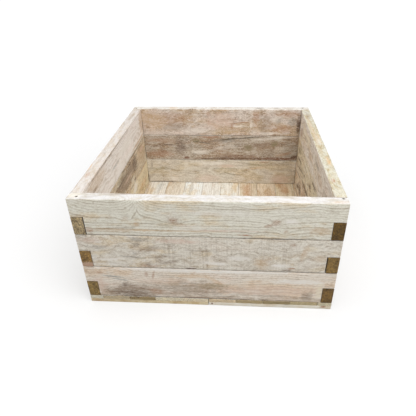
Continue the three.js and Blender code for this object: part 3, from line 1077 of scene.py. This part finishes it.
def blank_values(rule, name, lie, length, thickness, width):
    """The blank tree's inputs for one timber. The rule deals its random numbers."""
    wall = lie.endswith("wall")
    columns, rows, layers = GRID[lie]
    values = {"Length": length, "Width": width, "Thickness": thickness, "Notched": wall}
    values.update({"Columns": columns, "Rows": rows, "Layers": layers})
    usual = SHOULDER_GAP if lie == "end wall" else TIGHT_GAP
    for side in ("Left", "Right"):
        gap = OPEN_SHOULDERS.get((name, side + " Notch"), usual)
        plain = length * END_COLUMNS / (columns + 2 * END_COLUMNS)
        values[side + " Notch"] = BOARD_THICK + gap if wall else plain
        values[side + " Short"] = rule.uniform(*SHORT) * MM
    values["Notch Height"] = TONGUE_HIGH + LAP_GAP / 2 if wall else width / 2
    return values


def wear_values(rule, lie, thickness, width, outward):
    """The wear tree's inputs for one timber, but for the holes."""
    values = {"Width": width, "Thickness": thickness, "Outward": outward, "Seed": rule.uniform(0, 50)}
    if lie.endswith("wall"):
        values.update({"Cup": rule.uniform(*CUP) * MM, **WALL_WEAR})
    else:
        values.update(FLOOR_WEAR)
    return {**values, "Ripple": RIPPLE}


# %% One timber
ARRIS_STEPS = 3
SHARP_TURN = math.radians(38)
TOUCH = 0.1 * MM  # a screw that only reaches this far into a timber doesn't bore it


def meets(screw, low, high):
    """Whether a screw's shank lies inside a box."""
    ends = sorted((screw.face, screw.face + screw.length * (1 if screw.upward else -1)))
    inside = low.x < screw.axis.x < high.x and low.y < screw.axis.y < high.y
    return inside and ends[0] < high.z - TOUCH and ends[1] > low.z + TOUCH


def build_timber(name, lie, outward, material):
    """One timber as a piece: its blank, rounded, worn and bored, and set down where its CAD node is."""
    rule = random.Random(name)
    low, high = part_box(name)
    to_world = Matrix.Translation((low + high) / 2) @ LIES[lie]
    size = LIES[lie].inverted() @ (high - low)
    length, thickness, width = (abs(v) for v in size)
    if name.startswith("floor_plank"):
        width += 2 * SWELLING
    values = blank_values(rule, name, lie, length, thickness, width)
    holes = plugs([s for s in screws if meets(s, low, high)], to_world.inverted())
    bpy.context.scene.collection.objects.link(holes)
    blank = new_piece("blank", bpy.data.meshes.new("blank"))
    add_tree(blank, BLANK, {**values, "Material": material})
    bevel = blank.modifiers.new("arris", "BEVEL")
    bevel.limit_method, bevel.width, bevel.segments = "WEIGHT", ARRIS[lie], ARRIS_STEPS
    values = wear_values(rule, lie, thickness, width, outward)
    add_tree(blank, WEAR, {**values, "Holes": holes, "Has Holes": True, "Material": material})
    mesh = plain_mesh(blank, name, material)
    for spent in (blank, holes):
        bpy.data.objects.remove(spent)
    mesh.transform(to_world)
    mesh.shade_smooth()
    mesh.set_sharp_from_angle(angle=SHARP_TURN)
    return finish_piece(new_piece("timber_" + name, mesh), [name])




# %% [markdown]
# ## Each timber's own look
#
# No two boards come from the same tree, so every timber has its own colours, heart, knots and stains. They
# are listed as a carpenter would note them: what, where along the timber, where across it, how large and in
# which tint. Noise alone could fill the faces too, but then the greenish streak, the brown knot or the dark
# board wouldn't be where this bed has them.

# %% The front boards
LOOKS = {}
LOOKS["front_board_top"] = {
    "cool": "#eeecdd", "warm": "#ebddbf", "rim": ("#d0cfcf", "#ccc7bd"), "ends": ("#87764f", "#807048"),
    "heart": (-150, -70), "spacing": 8.8, "lean": -8, "wander": 10, "bite": 1.25, "grain": 0.85,
    "warmth": 0.35, "mottle": 0.25, "streaks": 0.16, "swirl": 16, "sway_span": (362, 450), "sawn": 0.10,
    "pink": 0.10,
    "sways": (Sway(-222, 30, 46), Sway(-450, 45, 24), Sway(165, 90, -16)),
    "knots": (Knot(-105, 388, 13, "rust", 0.8), Knot(227, 387, 12, "rust", 0.8),
              Knot(-264, 392, 8, "tan", 0.5), Knot(262, 352, 7, "tan", 0.6)),
    "stains": (
        Stain(-85, 372, 22, 5, "rust", 0.5, -0.15), Stain(-320, 343, 90, 10, "tan", 0.40),
        Stain(-300, 352, 80, 2.5, "taupe", 0.45, 0.07), Stain(-395, 342, 16, 12, "rust", 0.55),
        Stain(-215, 345, 40, 6, "amber", 0.35), Stain(205, 374, 16, 7, "rust", 0.45, 0.3),
        Stain(272, 392, 26, 10, "milk", 0.7), Stain(130, 334, 26, 4, "rust", 0.75),
        Stain(370, 358, 46, 18, "tan", 0.45), Stain(60, 350, 130, 4, "rose", 0.5),
        Stain(-40, 360, 60, 12, "milk", 0.4), Stain(-230, 370, 12, 12, "tan", 0.5),
        Stain(120, 436, 200, 2.5, "taupe", 0.35, 0.03), Stain(-130, 376, 70, 14, "olive", 0.20),
        Stain(40, 418, 150, 12, "milk", 0.35), Stain(-90, 345, 200, 4, "amber", 0.3),
        # The two thin lines at 320 are painted shade along the seam under this board.
        Stain(250, 320, 230, 2.6, "soot_and_shade", 0.9), Stain(-200, 320, 240, 1.6, "umber", 0.5),
    ),
    "rim_stains": (Stain(-275, -16, 40, 7, "taupe", 0.5), Stain(-120, -19, 60, 4, "tan", 0.3),
                   Stain(-430, 0, 24, 20, "cream", 0.35), Stain(425, 12, 30, 10, "tan", 0.35)),
}
LOOKS["front_board_middle"] = {
    "cool": "#e9e3d5", "warm": "#e6d7ba", "ends": ("#807048", "#87764f"), "pink": 0.30,
    "heart": (-20, -62), "spacing": 9, "lean": 22, "wander": 16, "bite": 1.5, "grain": 0.55, "warmth": 0.45,
    "mottle": 0.55, "streaks": 0.16, "swirl": 44, "sawn": 0.62, "saw_span": (-190, 300),
    "sways": (Sway(-230, 60, -18),),
    "knots": (Knot(-243, 284, 10, "ash", 0.85), Knot(-165, 213, 9, "taupe", 0.75),
              Knot(-207, 193, 9, "taupe", 0.8), Knot(-252, 243, 8, "ash", 0.6),
              Knot(289, 297, 8, "rust", 0.6), Knot(212, 232, 9, "tan", 0.6)),
    "stains": (
        Stain(-235, 305, 40, 10, "ash", 0.5), Stain(-200, 262, 40, 16, "taupe", 0.5, 0.2),
        Stain(-260, 226, 50, 5, "ash", 0.5, -0.08), Stain(-160, 232, 34, 8, "taupe", 0.5, 0.2),
        Stain(-130, 208, 40, 8, "taupe", 0.6, 0.25), Stain(-205, 186, 36, 8, "rust", 0.5),
        Stain(-100, 300, 80, 12, "rose", 0.5), Stain(-380, 268, 40, 16, "ash", 0.3),
        Stain(30, 206, 50, 9, "milk", 0.75, -0.1), Stain(110, 234, 50, 12, "milk", 0.6),
        Stain(255, 206, 44, 9, "milk", 0.75), Stain(-345, 214, 60, 8, "milk", 0.7, 0.05),
        Stain(-360, 190, 70, 6, "milk", 0.45), Stain(290, 194, 16, 5, "rust", 0.6),
        Stain(275, 184, 18, 5, "umber", 0.55), Stain(-60, 181, 22, 3.5, "umber", 0.75),
        Stain(190, 215, 30, 30, "tan", 0.5), Stain(350, 282, 30, 12, "cream", 0.5),
        Stain(385, 240, 26, 20, "tan", 0.35), Stain(-400, 300, 50, 14, "rose", 0.4),
        Stain(330, 262, 16, 30, "tan", 0.45, 1.5), Stain(-20, 262, 60, 5, "taupe", 0.4),
        # The thin soot lines at 320 and 176 are painted shade along the seams above and below this board.
        Stain(250, 320, 230, 2.6, "soot_and_shade", 0.8), Stain(240, 176, 220, 2.6, "soot_and_shade", 0.7),
    ),
}
LOOKS["front_board_bottom"] = {
    "cool": "#f3e9da", "warm": "#f1dcc2", "ends": ("#776845", "#7b6943"), "pink": 0.6,
    "heart": (-64, -38), "spacing": 8.4, "lean": 6, "wander": 9, "bite": 1.2, "grain": 0.65, "warmth": 0.5,
    "mottle": 0.30, "streaks": 0.24, "swirl": 14, "sawn": 0.10,
    "sways": (Sway(-320, 50, 26),),
    "knots": (Knot(-308, 93, 9, "umber", 0.8), Knot(369, 80, 8, "olive", 0.5)),
    "stains": (
        Stain(0, 169, 420, 9, "milk", 0.75), Stain(-60, 144, 90, 10, "amber", 0.35, -0.04),
        Stain(-222, 147, 7, 15, "rust", 0.45), Stain(-197, 145, 8, 17, "rust", 0.55, 2.0),
        Stain(-345, 132, 50, 5, "slate", 0.5, -0.12), Stain(-325, 118, 40, 5, "slate", 0.5, -0.15),
        Stain(-292, 64, 105, 38, "taupe", 0.75), Stain(-70, 80, 180, 44, "taupe", 0.52),
        Stain(-190, 62, 34, 18, "rust", 0.45), Stain(-290, 50, 100, 16, "umber", 0.40),
        Stain(10, 98, 60, 18, "olive", 0.35), Stain(60, 47, 60, 6, "taupe", 0.45),
        Stain(-400, 90, 30, 46, "rose", 0.5), Stain(230, 82, 200, 30, "rose", 0.42),
        Stain(355, 60, 24, 24, "taupe", 0.6), Stain(400, 90, 18, 40, "cream", 0.7),
        Stain(-395, 148, 16, 8, "rust", 0.35), Stain(330, 132, 100, 11, "milk", 0.7),
        # The thin umber line at 36 is painted shade along the board's lower edge, over the floor planks.
        Stain(-40, 36, 360, 4, "umber", 0.60), Stain(20, 128, 40, 12, "amber", 0.3, -0.6),
        Stain(180, 58, 150, 5, "taupe", 0.3), Stain(-150, 120, 90, 16, "rose", 0.3),
        # The thin soot line at 176 is painted shade along the seam above this board.
        Stain(240, 176, 220, 2.2, "soot_and_shade", 0.6),
    ),
}

# %% The back boards, whose inner faces show
LOOKS["back_board_top"] = {
    "cool": "#ded1c7", "warm": "#ccb393", "rim": ("#deddd8", "#d2c9bd"), "pink": 0.6,
    "heart": (30, 40), "spacing": 9, "lean": -12, "wander": 22, "bite": 1.7, "grain": 0.6, "warmth": 0.55,
    "mottle": 0.8, "streaks": 0.10, "swirl": 60,
    "sways": (Sway(170, 50, 30),),
    "knots": (Knot(300, 404, 13, "ash", 0.7), Knot(-170, 452, 10, "rust", 0.6),
              Knot(-215, 372, 12, "taupe", 0.6), Knot(-290, 362, 10, "taupe", 0.5)),
    "stains": (
        Stain(-340, 400, 90, 60, "tan", 0.55), Stain(-390, 420, 30, 50, "tan", 0.4),
        Stain(-230, 410, 90, 44, "rust", 0.30), Stain(-240, 370, 60, 24, "taupe", 0.40),
        Stain(-60, 440, 12, 20, "rust", 0.4), Stain(-55, 395, 12, 14, "rust", 0.4),
        Stain(0, 400, 90, 50, "rose", 0.5), Stain(-120, 345, 100, 16, "milk", 0.3),
        Stain(100, 374, 60, 6, "milk", 0.5), Stain(160, 384, 8, 26, "milk", 0.5),
        Stain(100, 392, 70, 3, "rust", 0.6, 0.12), Stain(90, 358, 70, 3, "rust", 0.5),
        Stain(60, 372, 8, 16, "rust", 0.5), Stain(40, 410, 60, 4, "rust", 0.4),
        Stain(185, 420, 18, 40, "rust", 0.45), Stain(230, 390, 40, 60, "taupe", 0.45),
        Stain(290, 410, 30, 20, "milk", 0.35), Stain(320, 360, 60, 26, "rust", 0.40),
        Stain(250, 336, 60, 10, "milk", 0.4), Stain(350, 440, 70, 20, "rust", 0.40),
        # The narrow umber strip at 402 is a brown stain and painted shade in the corner with the right wall.
        Stain(370, 400, 24, 30, "ash", 0.55), Stain(402, 380, 10, 60, "umber", 0.75),
        Stain(60, 338, 60, 8, "tan", 0.4),
    ),
    "rim_stains": (Stain(-330, -18, 44, 6, "taupe", 0.8), Stain(-150, -19, 60, 5, "umber", 0.6),
                   Stain(200, 0, 26, 12, "ash", 0.75), Stain(285, 4, 24, 9, "ash", 0.5),
                   Stain(-240, 0, 30, 20, "tan", 0.45)),
}
LOOKS["back_board_middle"] = {
    "cool": "#b8ab99", "warm": "#a88e70", "pink": 0.5,
    "heart": (-24, 34), "spacing": 10, "lean": 46, "wander": 26, "bite": 1.5, "grain": 0.9, "warmth": 0.5,
    "mottle": 0.7, "streaks": 0.14, "swirl": 44,
    "sways": (),
    "knots": (Knot(-180, 296, 9, "umber", 0.8), Knot(-205, 250, 14, "umber", 0.6),
              Knot(-165, 262, 10, "umber", 0.6)),
    "stains": (
        Stain(-320, 290, 100, 14, "rust", 0.35), Stain(-310, 262, 80, 6, "umber", 0.5, 0.1),
        Stain(-330, 210, 90, 24, "rust", 0.45), Stain(-215, 255, 34, 60, "umber", 0.60),
        Stain(-130, 290, 22, 16, "olive", 0.7), Stain(-185, 190, 16, 10, "bark", 0.9),
        Stain(-90, 278, 60, 4, "soot_and_shade", 0.6, -0.15), Stain(20, 290, 60, 12, "slate", 0.5),
        Stain(40, 300, 50, 7, "soot_and_shade", 0.75, 0.15), Stain(140, 309, 100, 4, "soot_and_shade", 0.7, 0.10),
        Stain(-20, 290, 80, 5, "taupe", 0.5, 0.15), Stain(-110, 222, 50, 14, "milk", 0.5),
        Stain(20, 250, 80, 14, "milk", 0.35, 0.15), Stain(-60, 312, 70, 7, "rust", 0.5),
        Stain(150, 252, 26, 20, "olive", 0.9), Stain(215, 258, 80, 30, "taupe", 0.45, 0.15),
        Stain(285, 274, 20, 16, "olive", 0.85, 0.3), Stain(370, 240, 44, 60, "ash", 0.30),
        Stain(240, 228, 60, 16, "taupe", 0.3), Stain(110, 200, 130, 12, "bark", 0.45),
        Stain(80, 186, 240, 6, "umber", 0.8), Stain(300, 187, 110, 10, "bark", 0.85),
        Stain(395, 194, 20, 16, "umber", 0.9), Stain(280, 306, 120, 9, "milk", 0.45, 0.08),
        Stain(-340, 320, 90, 3.5, "milk", 0.8), Stain(340, 215, 50, 10, "rust", 0.4, 0.2),
    ),
}
LOOKS["back_board_bottom"] = {
    "cool": "#dcd5c6", "warm": "#d6c8a9", "pink": 0.25,
    "heart": (20, 60), "spacing": 9, "lean": -18, "wander": 16, "bite": 1.5, "grain": 0.5, "warmth": 0.5,
    "mottle": 0.35, "streaks": 0.14, "swirl": 30,
    "sways": (), "knots": (),
    "stains": (
        Stain(-60, 155, 110, 16, "milk", 0.5), Stain(30, 140, 60, 14, "rose", 0.4),
        Stain(50, 92, 40, 4, "olive", 0.7, -0.25), Stain(90, 84, 30, 4, "taupe", 0.5, -0.2),
        Stain(330, 60, 70, 34, "rose", 0.5), Stain(-80, 60, 80, 30, "rose", 0.35),
        Stain(-340, 120, 80, 12, "olive", 0.35), Stain(180, 150, 70, 8, "olive", 0.45, -0.15),
        Stain(190, 128, 60, 6, "amber", 0.35, 0.2), Stain(0, 124, 120, 5, "olive", 0.35),
        Stain(-330, 37, 90, 4, "umber", 0.55), Stain(300, 155, 90, 12, "taupe", 0.35),
        Stain(-265, 56, 22, 14, "milk", 0.6), Stain(235, 168, 26, 5, "rust", 0.5),
        Stain(-384, 140, 6, 20, "taupe", 0.5), Stain(-190, 150, 16, 20, "milk", 0.4),
    ),
}

# %% The side boards, whose ends show on the front
LOOKS["left_board_top"] = {
    "cool": "#fcf7f3", "warm": "#fcf5ec", "rim": ("#cec8c3", "#cabeaf"), "ends": ("#a49374", "#87764f"),
    "heart": (-40, 60), "spacing": 9, "lean": 20, "wander": 20, "grain": 0.6, "warmth": 0.25, "mottle": 0.12,
    "bite": 1.1, "streaks": 0.14, "swirl": 30, "pink": 0.35,
    "stains": (
        Stain(-310, 412, 30, 7, "umber", 0.7), Stain(-290, 430, 110, 40, "tan", 0.45),
        Stain(395, 400, 60, 70, "tan", 0.55), Stain(300, 333, 130, 8, "tan", 0.7),
        Stain(100, 400, 160, 26, "milk", 0.6), Stain(-120, 455, 300, 4, "taupe", 0.7),
        Stain(-20, 350, 160, 12, "milk", 0.4), Stain(-60, 385, 60, 6, "slate", 0.4),
    ),
    "rim_stains": (Stain(-290, 4, 26, 8, "rust", 0.45), Stain(-230, 16, 30, 4, "amber", 0.5),
                   Stain(300, 0, 60, 12, "taupe", 0.25)),
}
LOOKS["left_board_middle"] = {
    "cool": "#dfd2b5", "warm": "#dac199", "ends": ("#83683d", "#776845"), "warmth": 0.6, "mottle": 0.8,
    "heart": (30, 50), "spacing": 10, "lean": -24, "wander": 26, "grain": 0.8, "bite": 1.8,
    "streaks": 0.14, "swirl": 40, "pink": 0.5,
    "end_stains": (Stain(0, 183, 44, 15, "rose", 0.9), Stain(0, 183, 34, 12, "rust", 0.5)),
    "stains": (
        Stain(20, 262, 190, 50, "taupe", 0.85), Stain(190, 262, 46, 50, "umber", 0.70),
        Stain(60, 250, 70, 10, "rose", 0.5), Stain(-20, 280, 100, 7, "umber", 0.6),
        Stain(110, 300, 60, 9, "umber", 0.6), Stain(300, 300, 60, 5, "umber", 0.5, -0.15),
        Stain(165, 193, 22, 9, "umber", 0.8), Stain(60, 222, 90, 9, "umber", 0.45),
        Stain(330, 250, 90, 60, "tan", 0.45), Stain(330, 276, 50, 16, "rose", 0.5),
        Stain(180, 314, 220, 4, "umber", 0.6), Stain(-40, 300, 60, 8, "olive", 0.5),
    ),
}
LOOKS["left_board_bottom"] = {
    "cool": "#efe1ba", "warm": "#e5cb98", "ends": ("#846e43", "#776845"), "warmth": 0.6, "mottle": 0.6,
    "heart": (-20, 44), "wander": 18, "grain": 0.6, "bite": 1.6, "streaks": 0.14, "swirl": 30,
    "stains": (
        Stain(145, 150, 50, 30, "milk", 0.7), Stain(300, 172, 120, 6, "tan", 0.6),
        # The narrow umber strip at 404 is a dark stain and painted shade in the corner with the back wall.
        Stain(330, 182, 20, 6, "umber", 0.5), Stain(404, 60, 10, 40, "umber", 0.6),
        Stain(300, 90, 80, 20, "amber", 0.35),
    ),
}
LOOKS["right_board_top"] = {
    "cool": "#fcf5ec", "warm": "#f9edd4", "rim": ("#c5c3b2", "#c0b490"), "ends": ("#594317", "#776845"),
    "heart": (10, 46), "spacing": 10, "lean": 34, "wander": 30, "grain": 0.8, "warmth": 0.45, "mottle": 0.7,
    "bite": 1.7, "pink": 0.5, "streaks": 0.17, "swirl": 50,
    "stains": (
        Stain(-100, 415, 60, 10, "taupe", 0.5), Stain(60, 372, 50, 12, "tan", 0.6),
        Stain(330, 372, 40, 24, "rust", 0.45), Stain(398, 400, 16, 80, "umber", 0.75),
        Stain(-180, 390, 60, 24, "tan", 0.4), Stain(200, 420, 140, 14, "cream", 0.5),
        Stain(-60, 350, 120, 8, "milk", 0.4), Stain(-110, 322, 60, 5, "umber", 0.5),
    ),
    "rim_stains": (Stain(-305, -4, 16, 9, "rust", 0.6), Stain(-160, 8, 40, 8, "amber", 0.5),
                   Stain(150, -6, 220, 9, "tan", 0.4), Stain(330, 0, 60, 12, "taupe", 0.4),
                   Stain(60, 8, 80, 5, "amber", 0.4)),
}
LOOKS["right_board_middle"] = {
    "cool": "#f0e6c5", "warm": "#e3cb9a", "ends": ("#7c6438", "#807048"), "warmth": 0.55, "mottle": 0.9,
    "heart": (-30, 54), "spacing": 11, "lean": -34, "wander": 30, "grain": 1.0, "bite": 2.1, "pink": 0.6,
    "streaks": 0.2, "swirl": 50,
    "stains": (
        Stain(-10, 262, 34, 10, "umber", 0.65, -0.3), Stain(-90, 312, 44, 9, "umber", 0.7),
        Stain(150, 262, 50, 8, "milk", 0.5, -0.15), Stain(320, 230, 90, 8, "umber", 0.55, -0.2),
        Stain(330, 275, 60, 16, "olive", 0.45, -0.2), Stain(100, 296, 120, 9, "milk", 0.55),
        Stain(90, 190, 90, 11, "umber", 0.8, -0.1), Stain(270, 200, 90, 6, "umber", 0.6, -0.2),
        Stain(60, 230, 60, 9, "milk", 0.4, -0.15), Stain(200, 222, 100, 5, "umber", 0.5, -0.2),
    ),
}
LOOKS["right_board_bottom"] = {
    "cool": "#f6e8ce", "warm": "#dfc39d", "ends": ("#695129", "#776845"), "warmth": 0.55, "mottle": 0.9,
    "heart": (-50, 40), "spacing": 11, "lean": 26, "wander": 26, "grain": 1.0, "bite": 2.1, "pink": 0.5,
    "streaks": 0.2, "swirl": 50,
    "stains": (
        Stain(235, 105, 50, 30, "umber", 0.65), Stain(300, 84, 34, 16, "umber", 0.75, -0.3),
        Stain(380, 100, 40, 30, "tan", 0.35), Stain(170, 150, 40, 12, "milk", 0.5),
        Stain(310, 150, 100, 6, "umber", 0.5, -0.2), Stain(350, 122, 60, 8, "tan", 0.5, -0.2),
    ),
}

# %% The floor planks
# Cool and warm skin, and the tone of the end below the front wall.
FLOOR = {
    "floor_strip_left": ("#ddd2bd", "#c9ae85", "#dbd6c4"),
    "floor_plank_1": ("#e8e7df", "#d9c8a9", "#c3b498"),
    "floor_plank_2": ("#dbd3c2", "#cab494", "#9c8a66"),
    "floor_plank_3": ("#e9eeec", "#e0d9c5", "#e4dac0"),
    "floor_plank_4": ("#e6e6df", "#ded3bc", "#e4d7bc"),
    "floor_plank_5": ("#e4e3d9", "#dac8a8", "#dcc8a8"),
    "floor_plank_6": ("#d2c4a8", "#c3a57c", "#b5a37e"),
    "floor_plank_7": ("#d3c0a2", "#c2a47a", "#9f8f6a"),
    "floor_plank_8": ("#d4c5a2", "#c3a476", "#bdae8a"),
    "floor_strip_right": ("#d1c09e", "#bd9e73", "#d6ccb0"),
}
FLOOR_MARKS = {
    "floor_plank_1": {
        "stains": (Stain(-440, -310, 40, 9, "soot_and_shade", 0.6), Stain(350, -340, 60, 20, "slate", 0.3)),
    },
    "floor_plank_2": {
        "stains": (Stain(-440, -277, 40, 9, "soot_and_shade", 0.6),),
        "end_stains": (Stain(4, -297, 5, 6, "umber", 0.7), Stain(4, -266, 5, 5, "umber", 0.7)),
    },
    # The thin dark line on this plank's front end is painted shade in the joint at its edge.
    "floor_plank_4": {"end_stains": (Stain(0, -1, 30, 1.6, "soot_and_shade", 0.8),)},
    "floor_plank_6": {
        "stains": (Stain(330, 150, 90, 30, "rust", 0.35), Stain(300, 105, 200, 3, "milk", 0.6)),
    },
    "floor_plank_8": {"stains": (Stain(350, 350, 90, 40, "rust", 0.3),)},
}
for name, (cool, warm, end) in FLOOR.items():
    rule = random.Random("plank " + name)
    heart = (rule.uniform(-30, 30), rule.uniform(-40, -14))
    LOOKS[name] = {"cool": cool, "warm": warm, "ends": (end, end), "heart": heart, "spacing": 7, "wander": 5}
    LOOKS[name].update({"lean": rule.uniform(-14, 14), "grain": 0.6, "mottle": 0.4, "pink": 0.3})
    LOOKS[name].update({"cracks": 0.4, "swirl": 4, **FLOOR_MARKS.get(name, {})})

# %% The runners
RUNNERS = {"left": ("#e4d4ac", "#d6bc8c"), "right": ("#f1ebdb", "#e8dbc2")}  # cool and warm skin
RUNNER_ROWS = ("front", "middle", "back")
RUNNER_MARKS = {
    # The thin dark line at the left front runner's inner end is painted shade in the butt gap.
    "runner_front_left": (Stain(-415, 0, 40, 12, "tan", 0.7), Stain(-300, 6, 200, 3, "taupe", 0.5),
                          Stain(-1, 0, 2, 12, "soot_and_shade", 0.9)),
    "runner_front_right": (Stain(12, 1, 4, 5, "bark", 0.9), Stain(420, 3, 12, 5, "rust", 0.8)),
}
for row in RUNNER_ROWS:
    for side, skin in RUNNERS.items():
        name = f"runner_{row}_{side}"
        LOOKS[name] = {"cool": skin[0], "warm": skin[1], "rim": skin, "spacing": 7, "wander": 5}
        LOOKS[name].update({"heart": (20, -40), "grain": 0.45, "ends": ("#87764f", "#807048")})
        LOOKS[name]["rim_stains"] = RUNNER_MARKS.get(name, ())

# %% Build them
WALLS = {
    "front": ("end wall", -1.0), "back": ("end wall", 1.0),
    "left": ("side wall", -1.0), "right": ("side wall", 1.0),
}
plan = [(f"{side}_board_{course}", lie, outward, side + "_wall_wood")
        for side, (lie, outward) in WALLS.items() for course in COURSES]
plan += [(name, "plank", 1.0, "floor_wood") for name in FLOOR]
plan += [(f"runner_{row}_{side}", "runner", 1.0, "runner_wood") for row in RUNNER_ROWS for side in RUNNERS]
timbers = []
for name, lie, outward, slot in plan:
    finish = wood(name, lie, outward, LOOKS[name])
    timbers.append(build_timber(name, lie, outward, finish))
triangles = sum(len(face.vertices) - 2 for piece in timbers for face in piece.data.polygons)
print(len(timbers), "timbers with", triangles, "triangles")


# %% [markdown]
# ## Screws into their holes
#
# The screws sit in the plugs' holes, and their tree gets its places from a mesh of bare points. Zinc that
# has been outside for a season is dull grey with brown patches, so the metal is rough and uneven.

# %% Steel
RUSTED = (0.5, 0.68)  # where in the patches' noise zinc gives way to brown


def weathered_steel():
    material, bench = new_material("weathered_steel")
    place = bench.make("ShaderNodeTexCoord", key="Object") * (1 / MM)
    patches = bench.noise(place * 0.35, 1.0, 4.0, 0.6)
    grit = bench.noise(place * 2.2, 1.0, 3.0, 0.6)
    colour = bench.blend(bench.ramp(grit, 0.35, 0.7), paint("#a5a29a"), paint("#7d7870"))
    colour = bench.blend(bench.ramp(patches, *RUSTED, 0, 0.6, smooth=True), colour, paint("#86664a"))
    metal = bench.ramp(patches, *RUSTED, 0.7, 0.25, smooth=True)
    roughness = bench.ramp(grit, 0.3, 0.7, 0.42, 0.66)
    end_material(bench, colour, roughness, grit, 0.05 * MM, metal)
    return material


STEEL = weathered_steel()

# %% Screws
LONG = 100 * MM  # only the corner screws are longer, and only the floor's short ones under half of it
Batch = namedtuple("Batch", "title chosen thread thread_rows pitch")
BATCHES = [
    Batch("screws_corner_long", [s for s in screws if not s.upward], 70 * MM, 88, 3.2 * MM),
    Batch("screws_corner_low", [s for s in screws if s.upward and s.length > LONG], 70 * MM, 88, 3.2 * MM),
    Batch("screws_floor", [s for s in screws if LONG / 2 < s.length < LONG], 36 * MM, 60, 2.4 * MM),
    Batch("screws_runner", [s for s in screws if s.length < LONG / 2], 18 * MM, 30, 2.4 * MM),
]
THREAD_TURN = math.radians(35)


def build_screws(batch, seed):
    """The screws of one kind as one piece, which stands for as many CAD nodes."""
    first = batch.chosen[0]
    mesh = bpy.data.meshes.new("places")
    mesh.from_pydata([(s.axis.x, s.axis.y, s.face) for s in batch.chosen], [], [])
    places = new_piece("places", mesh)
    values = {"Head": first.head, "Shank": first.shank, "Length": first.length, "Point": first.point}
    values.update({"Thread": batch.thread, "Pitch": batch.pitch, "Thread Rows": batch.thread_rows})
    values.update({"Upward": first.upward, "Seed": seed, "Material": STEEL})
    add_tree(places, SCREWS, values)
    mesh = plain_mesh(places, batch.title, STEEL)
    bpy.data.objects.remove(places)
    mesh.shade_smooth()
    mesh.set_sharp_from_angle(angle=THREAD_TURN)
    return finish_piece(new_piece(batch.title, mesh), [s.name for s in batch.chosen])


for seed, batch in enumerate(BATCHES):
    made = build_screws(batch, seed)
    print(batch.title, len(batch.chosen), "screws,", len(made.data.polygons), "faces")

# %% [markdown]
# ## Floor, light and background
#
# The bed was taken out of its surroundings onto white. The floor is pale and plain and keeps a soft shadow:
# half of its white comes from the lamps, and the other half glows for the camera alone, so it lights nothing
# and can't wash the shadow out. Wide lamps high above give the soft light of an overcast sky, the larger one
# on the right, because the left wall's inner face is the brighter one.

# %% Studio
WHITE = (1.0, 1.0, 1.0)
GROUND_WHITE = 0.45
GROUND_GLOW = 0.46
FAR_GLOW = 0.85  # the lamps don't reach far, so the floor glows more there
SKY_FILL = 0.52
GLOW_FROM, GLOW_TO = 0.7, 3.5  # metres from the middle between which the floor's glow grows


def seen_ray(bench):
    """1 for what is seen, straight, mirrored or through glass, and 0 for the light that falls on things."""
    path = bench.add("ShaderNodeLightPath")
    straight, mirrored = bench.out(path, "Is Camera Ray"), bench.out(path, "Is Glossy Ray")
    seen = bench.maths("MAXIMUM", straight, mirrored)
    return bench.maths("MAXIMUM", seen, bench.out(path, "Is Transmission Ray"))


def make_ground(reach=30):
    """A wide floor that takes shadows and looks white."""
    corners = [(-reach, -reach, 0), (reach, -reach, 0), (reach, reach, 0), (-reach, reach, 0)]
    mesh = bpy.data.meshes.new("ground")
    mesh.from_pydata(corners, [], [(0, 1, 2, 3)])
    ground = new_piece("ground", mesh)
    material, bench = new_material("ground")
    matt = bench.make("ShaderNodeBsdfDiffuse", None, {"Color": (GROUND_WHITE,) * 3})
    away = bench.length(bench.make("ShaderNodeTexCoord", key="Object"))
    glow = seen_ray(bench) * bench.ramp(away, GLOW_FROM, GLOW_TO, GROUND_GLOW, FAR_GLOW)
    glow = bench.make("ShaderNodeEmission", None, {"Color": WHITE, "Strength": glow})
    both = bench.make("ShaderNodeAddShader", None, {0: matt, 1: glow})
    bench.add("ShaderNodeOutputMaterial", None, {"Surface": both})
    mesh.materials.append(material)


def make_world():
    """A sky that is white where it is seen and gives a weaker light to all things."""
    world = bpy.data.worlds.new("studio")
    bpy.context.scene.world = world
    world.use_nodes = True
    world.node_tree.nodes.clear()
    bench = Bench(world.node_tree)
    strength = bench.ramp(seen_ray(bench), 0, 1, SKY_FILL, 1)
    sky = bench.make("ShaderNodeBackground", None, {"Color": WHITE, "Strength": strength})
    bench.add("ShaderNodeOutputWorld", None, {"Surface": sky})


# %% Lamps
AIM = Vector((0, 0, 0.2))


def make_lamp(name, place, size, power):
    """A round lamp at a place in metres, so wide across and of so many watts, aimed at the bed."""
    data = bpy.data.lights.new(name, "AREA")
    data.shape, data.size, data.energy = "DISK", size, power
    lamp = bpy.data.objects.new(name, data)
    lamp.location = place
    lamp.rotation_euler = (AIM - lamp.location).to_track_quat("-Z", "Y").to_euler()
    bpy.context.scene.collection.objects.link(lamp)


make_ground()
make_world()
make_lamp("key", (0.9, -1.3, 2.9), 2.6, 68)
make_lamp("top", (-0.5, -0.2, 2.9), 2.5, 28)
bpy.context.scene.view_settings.view_transform = "Standard"
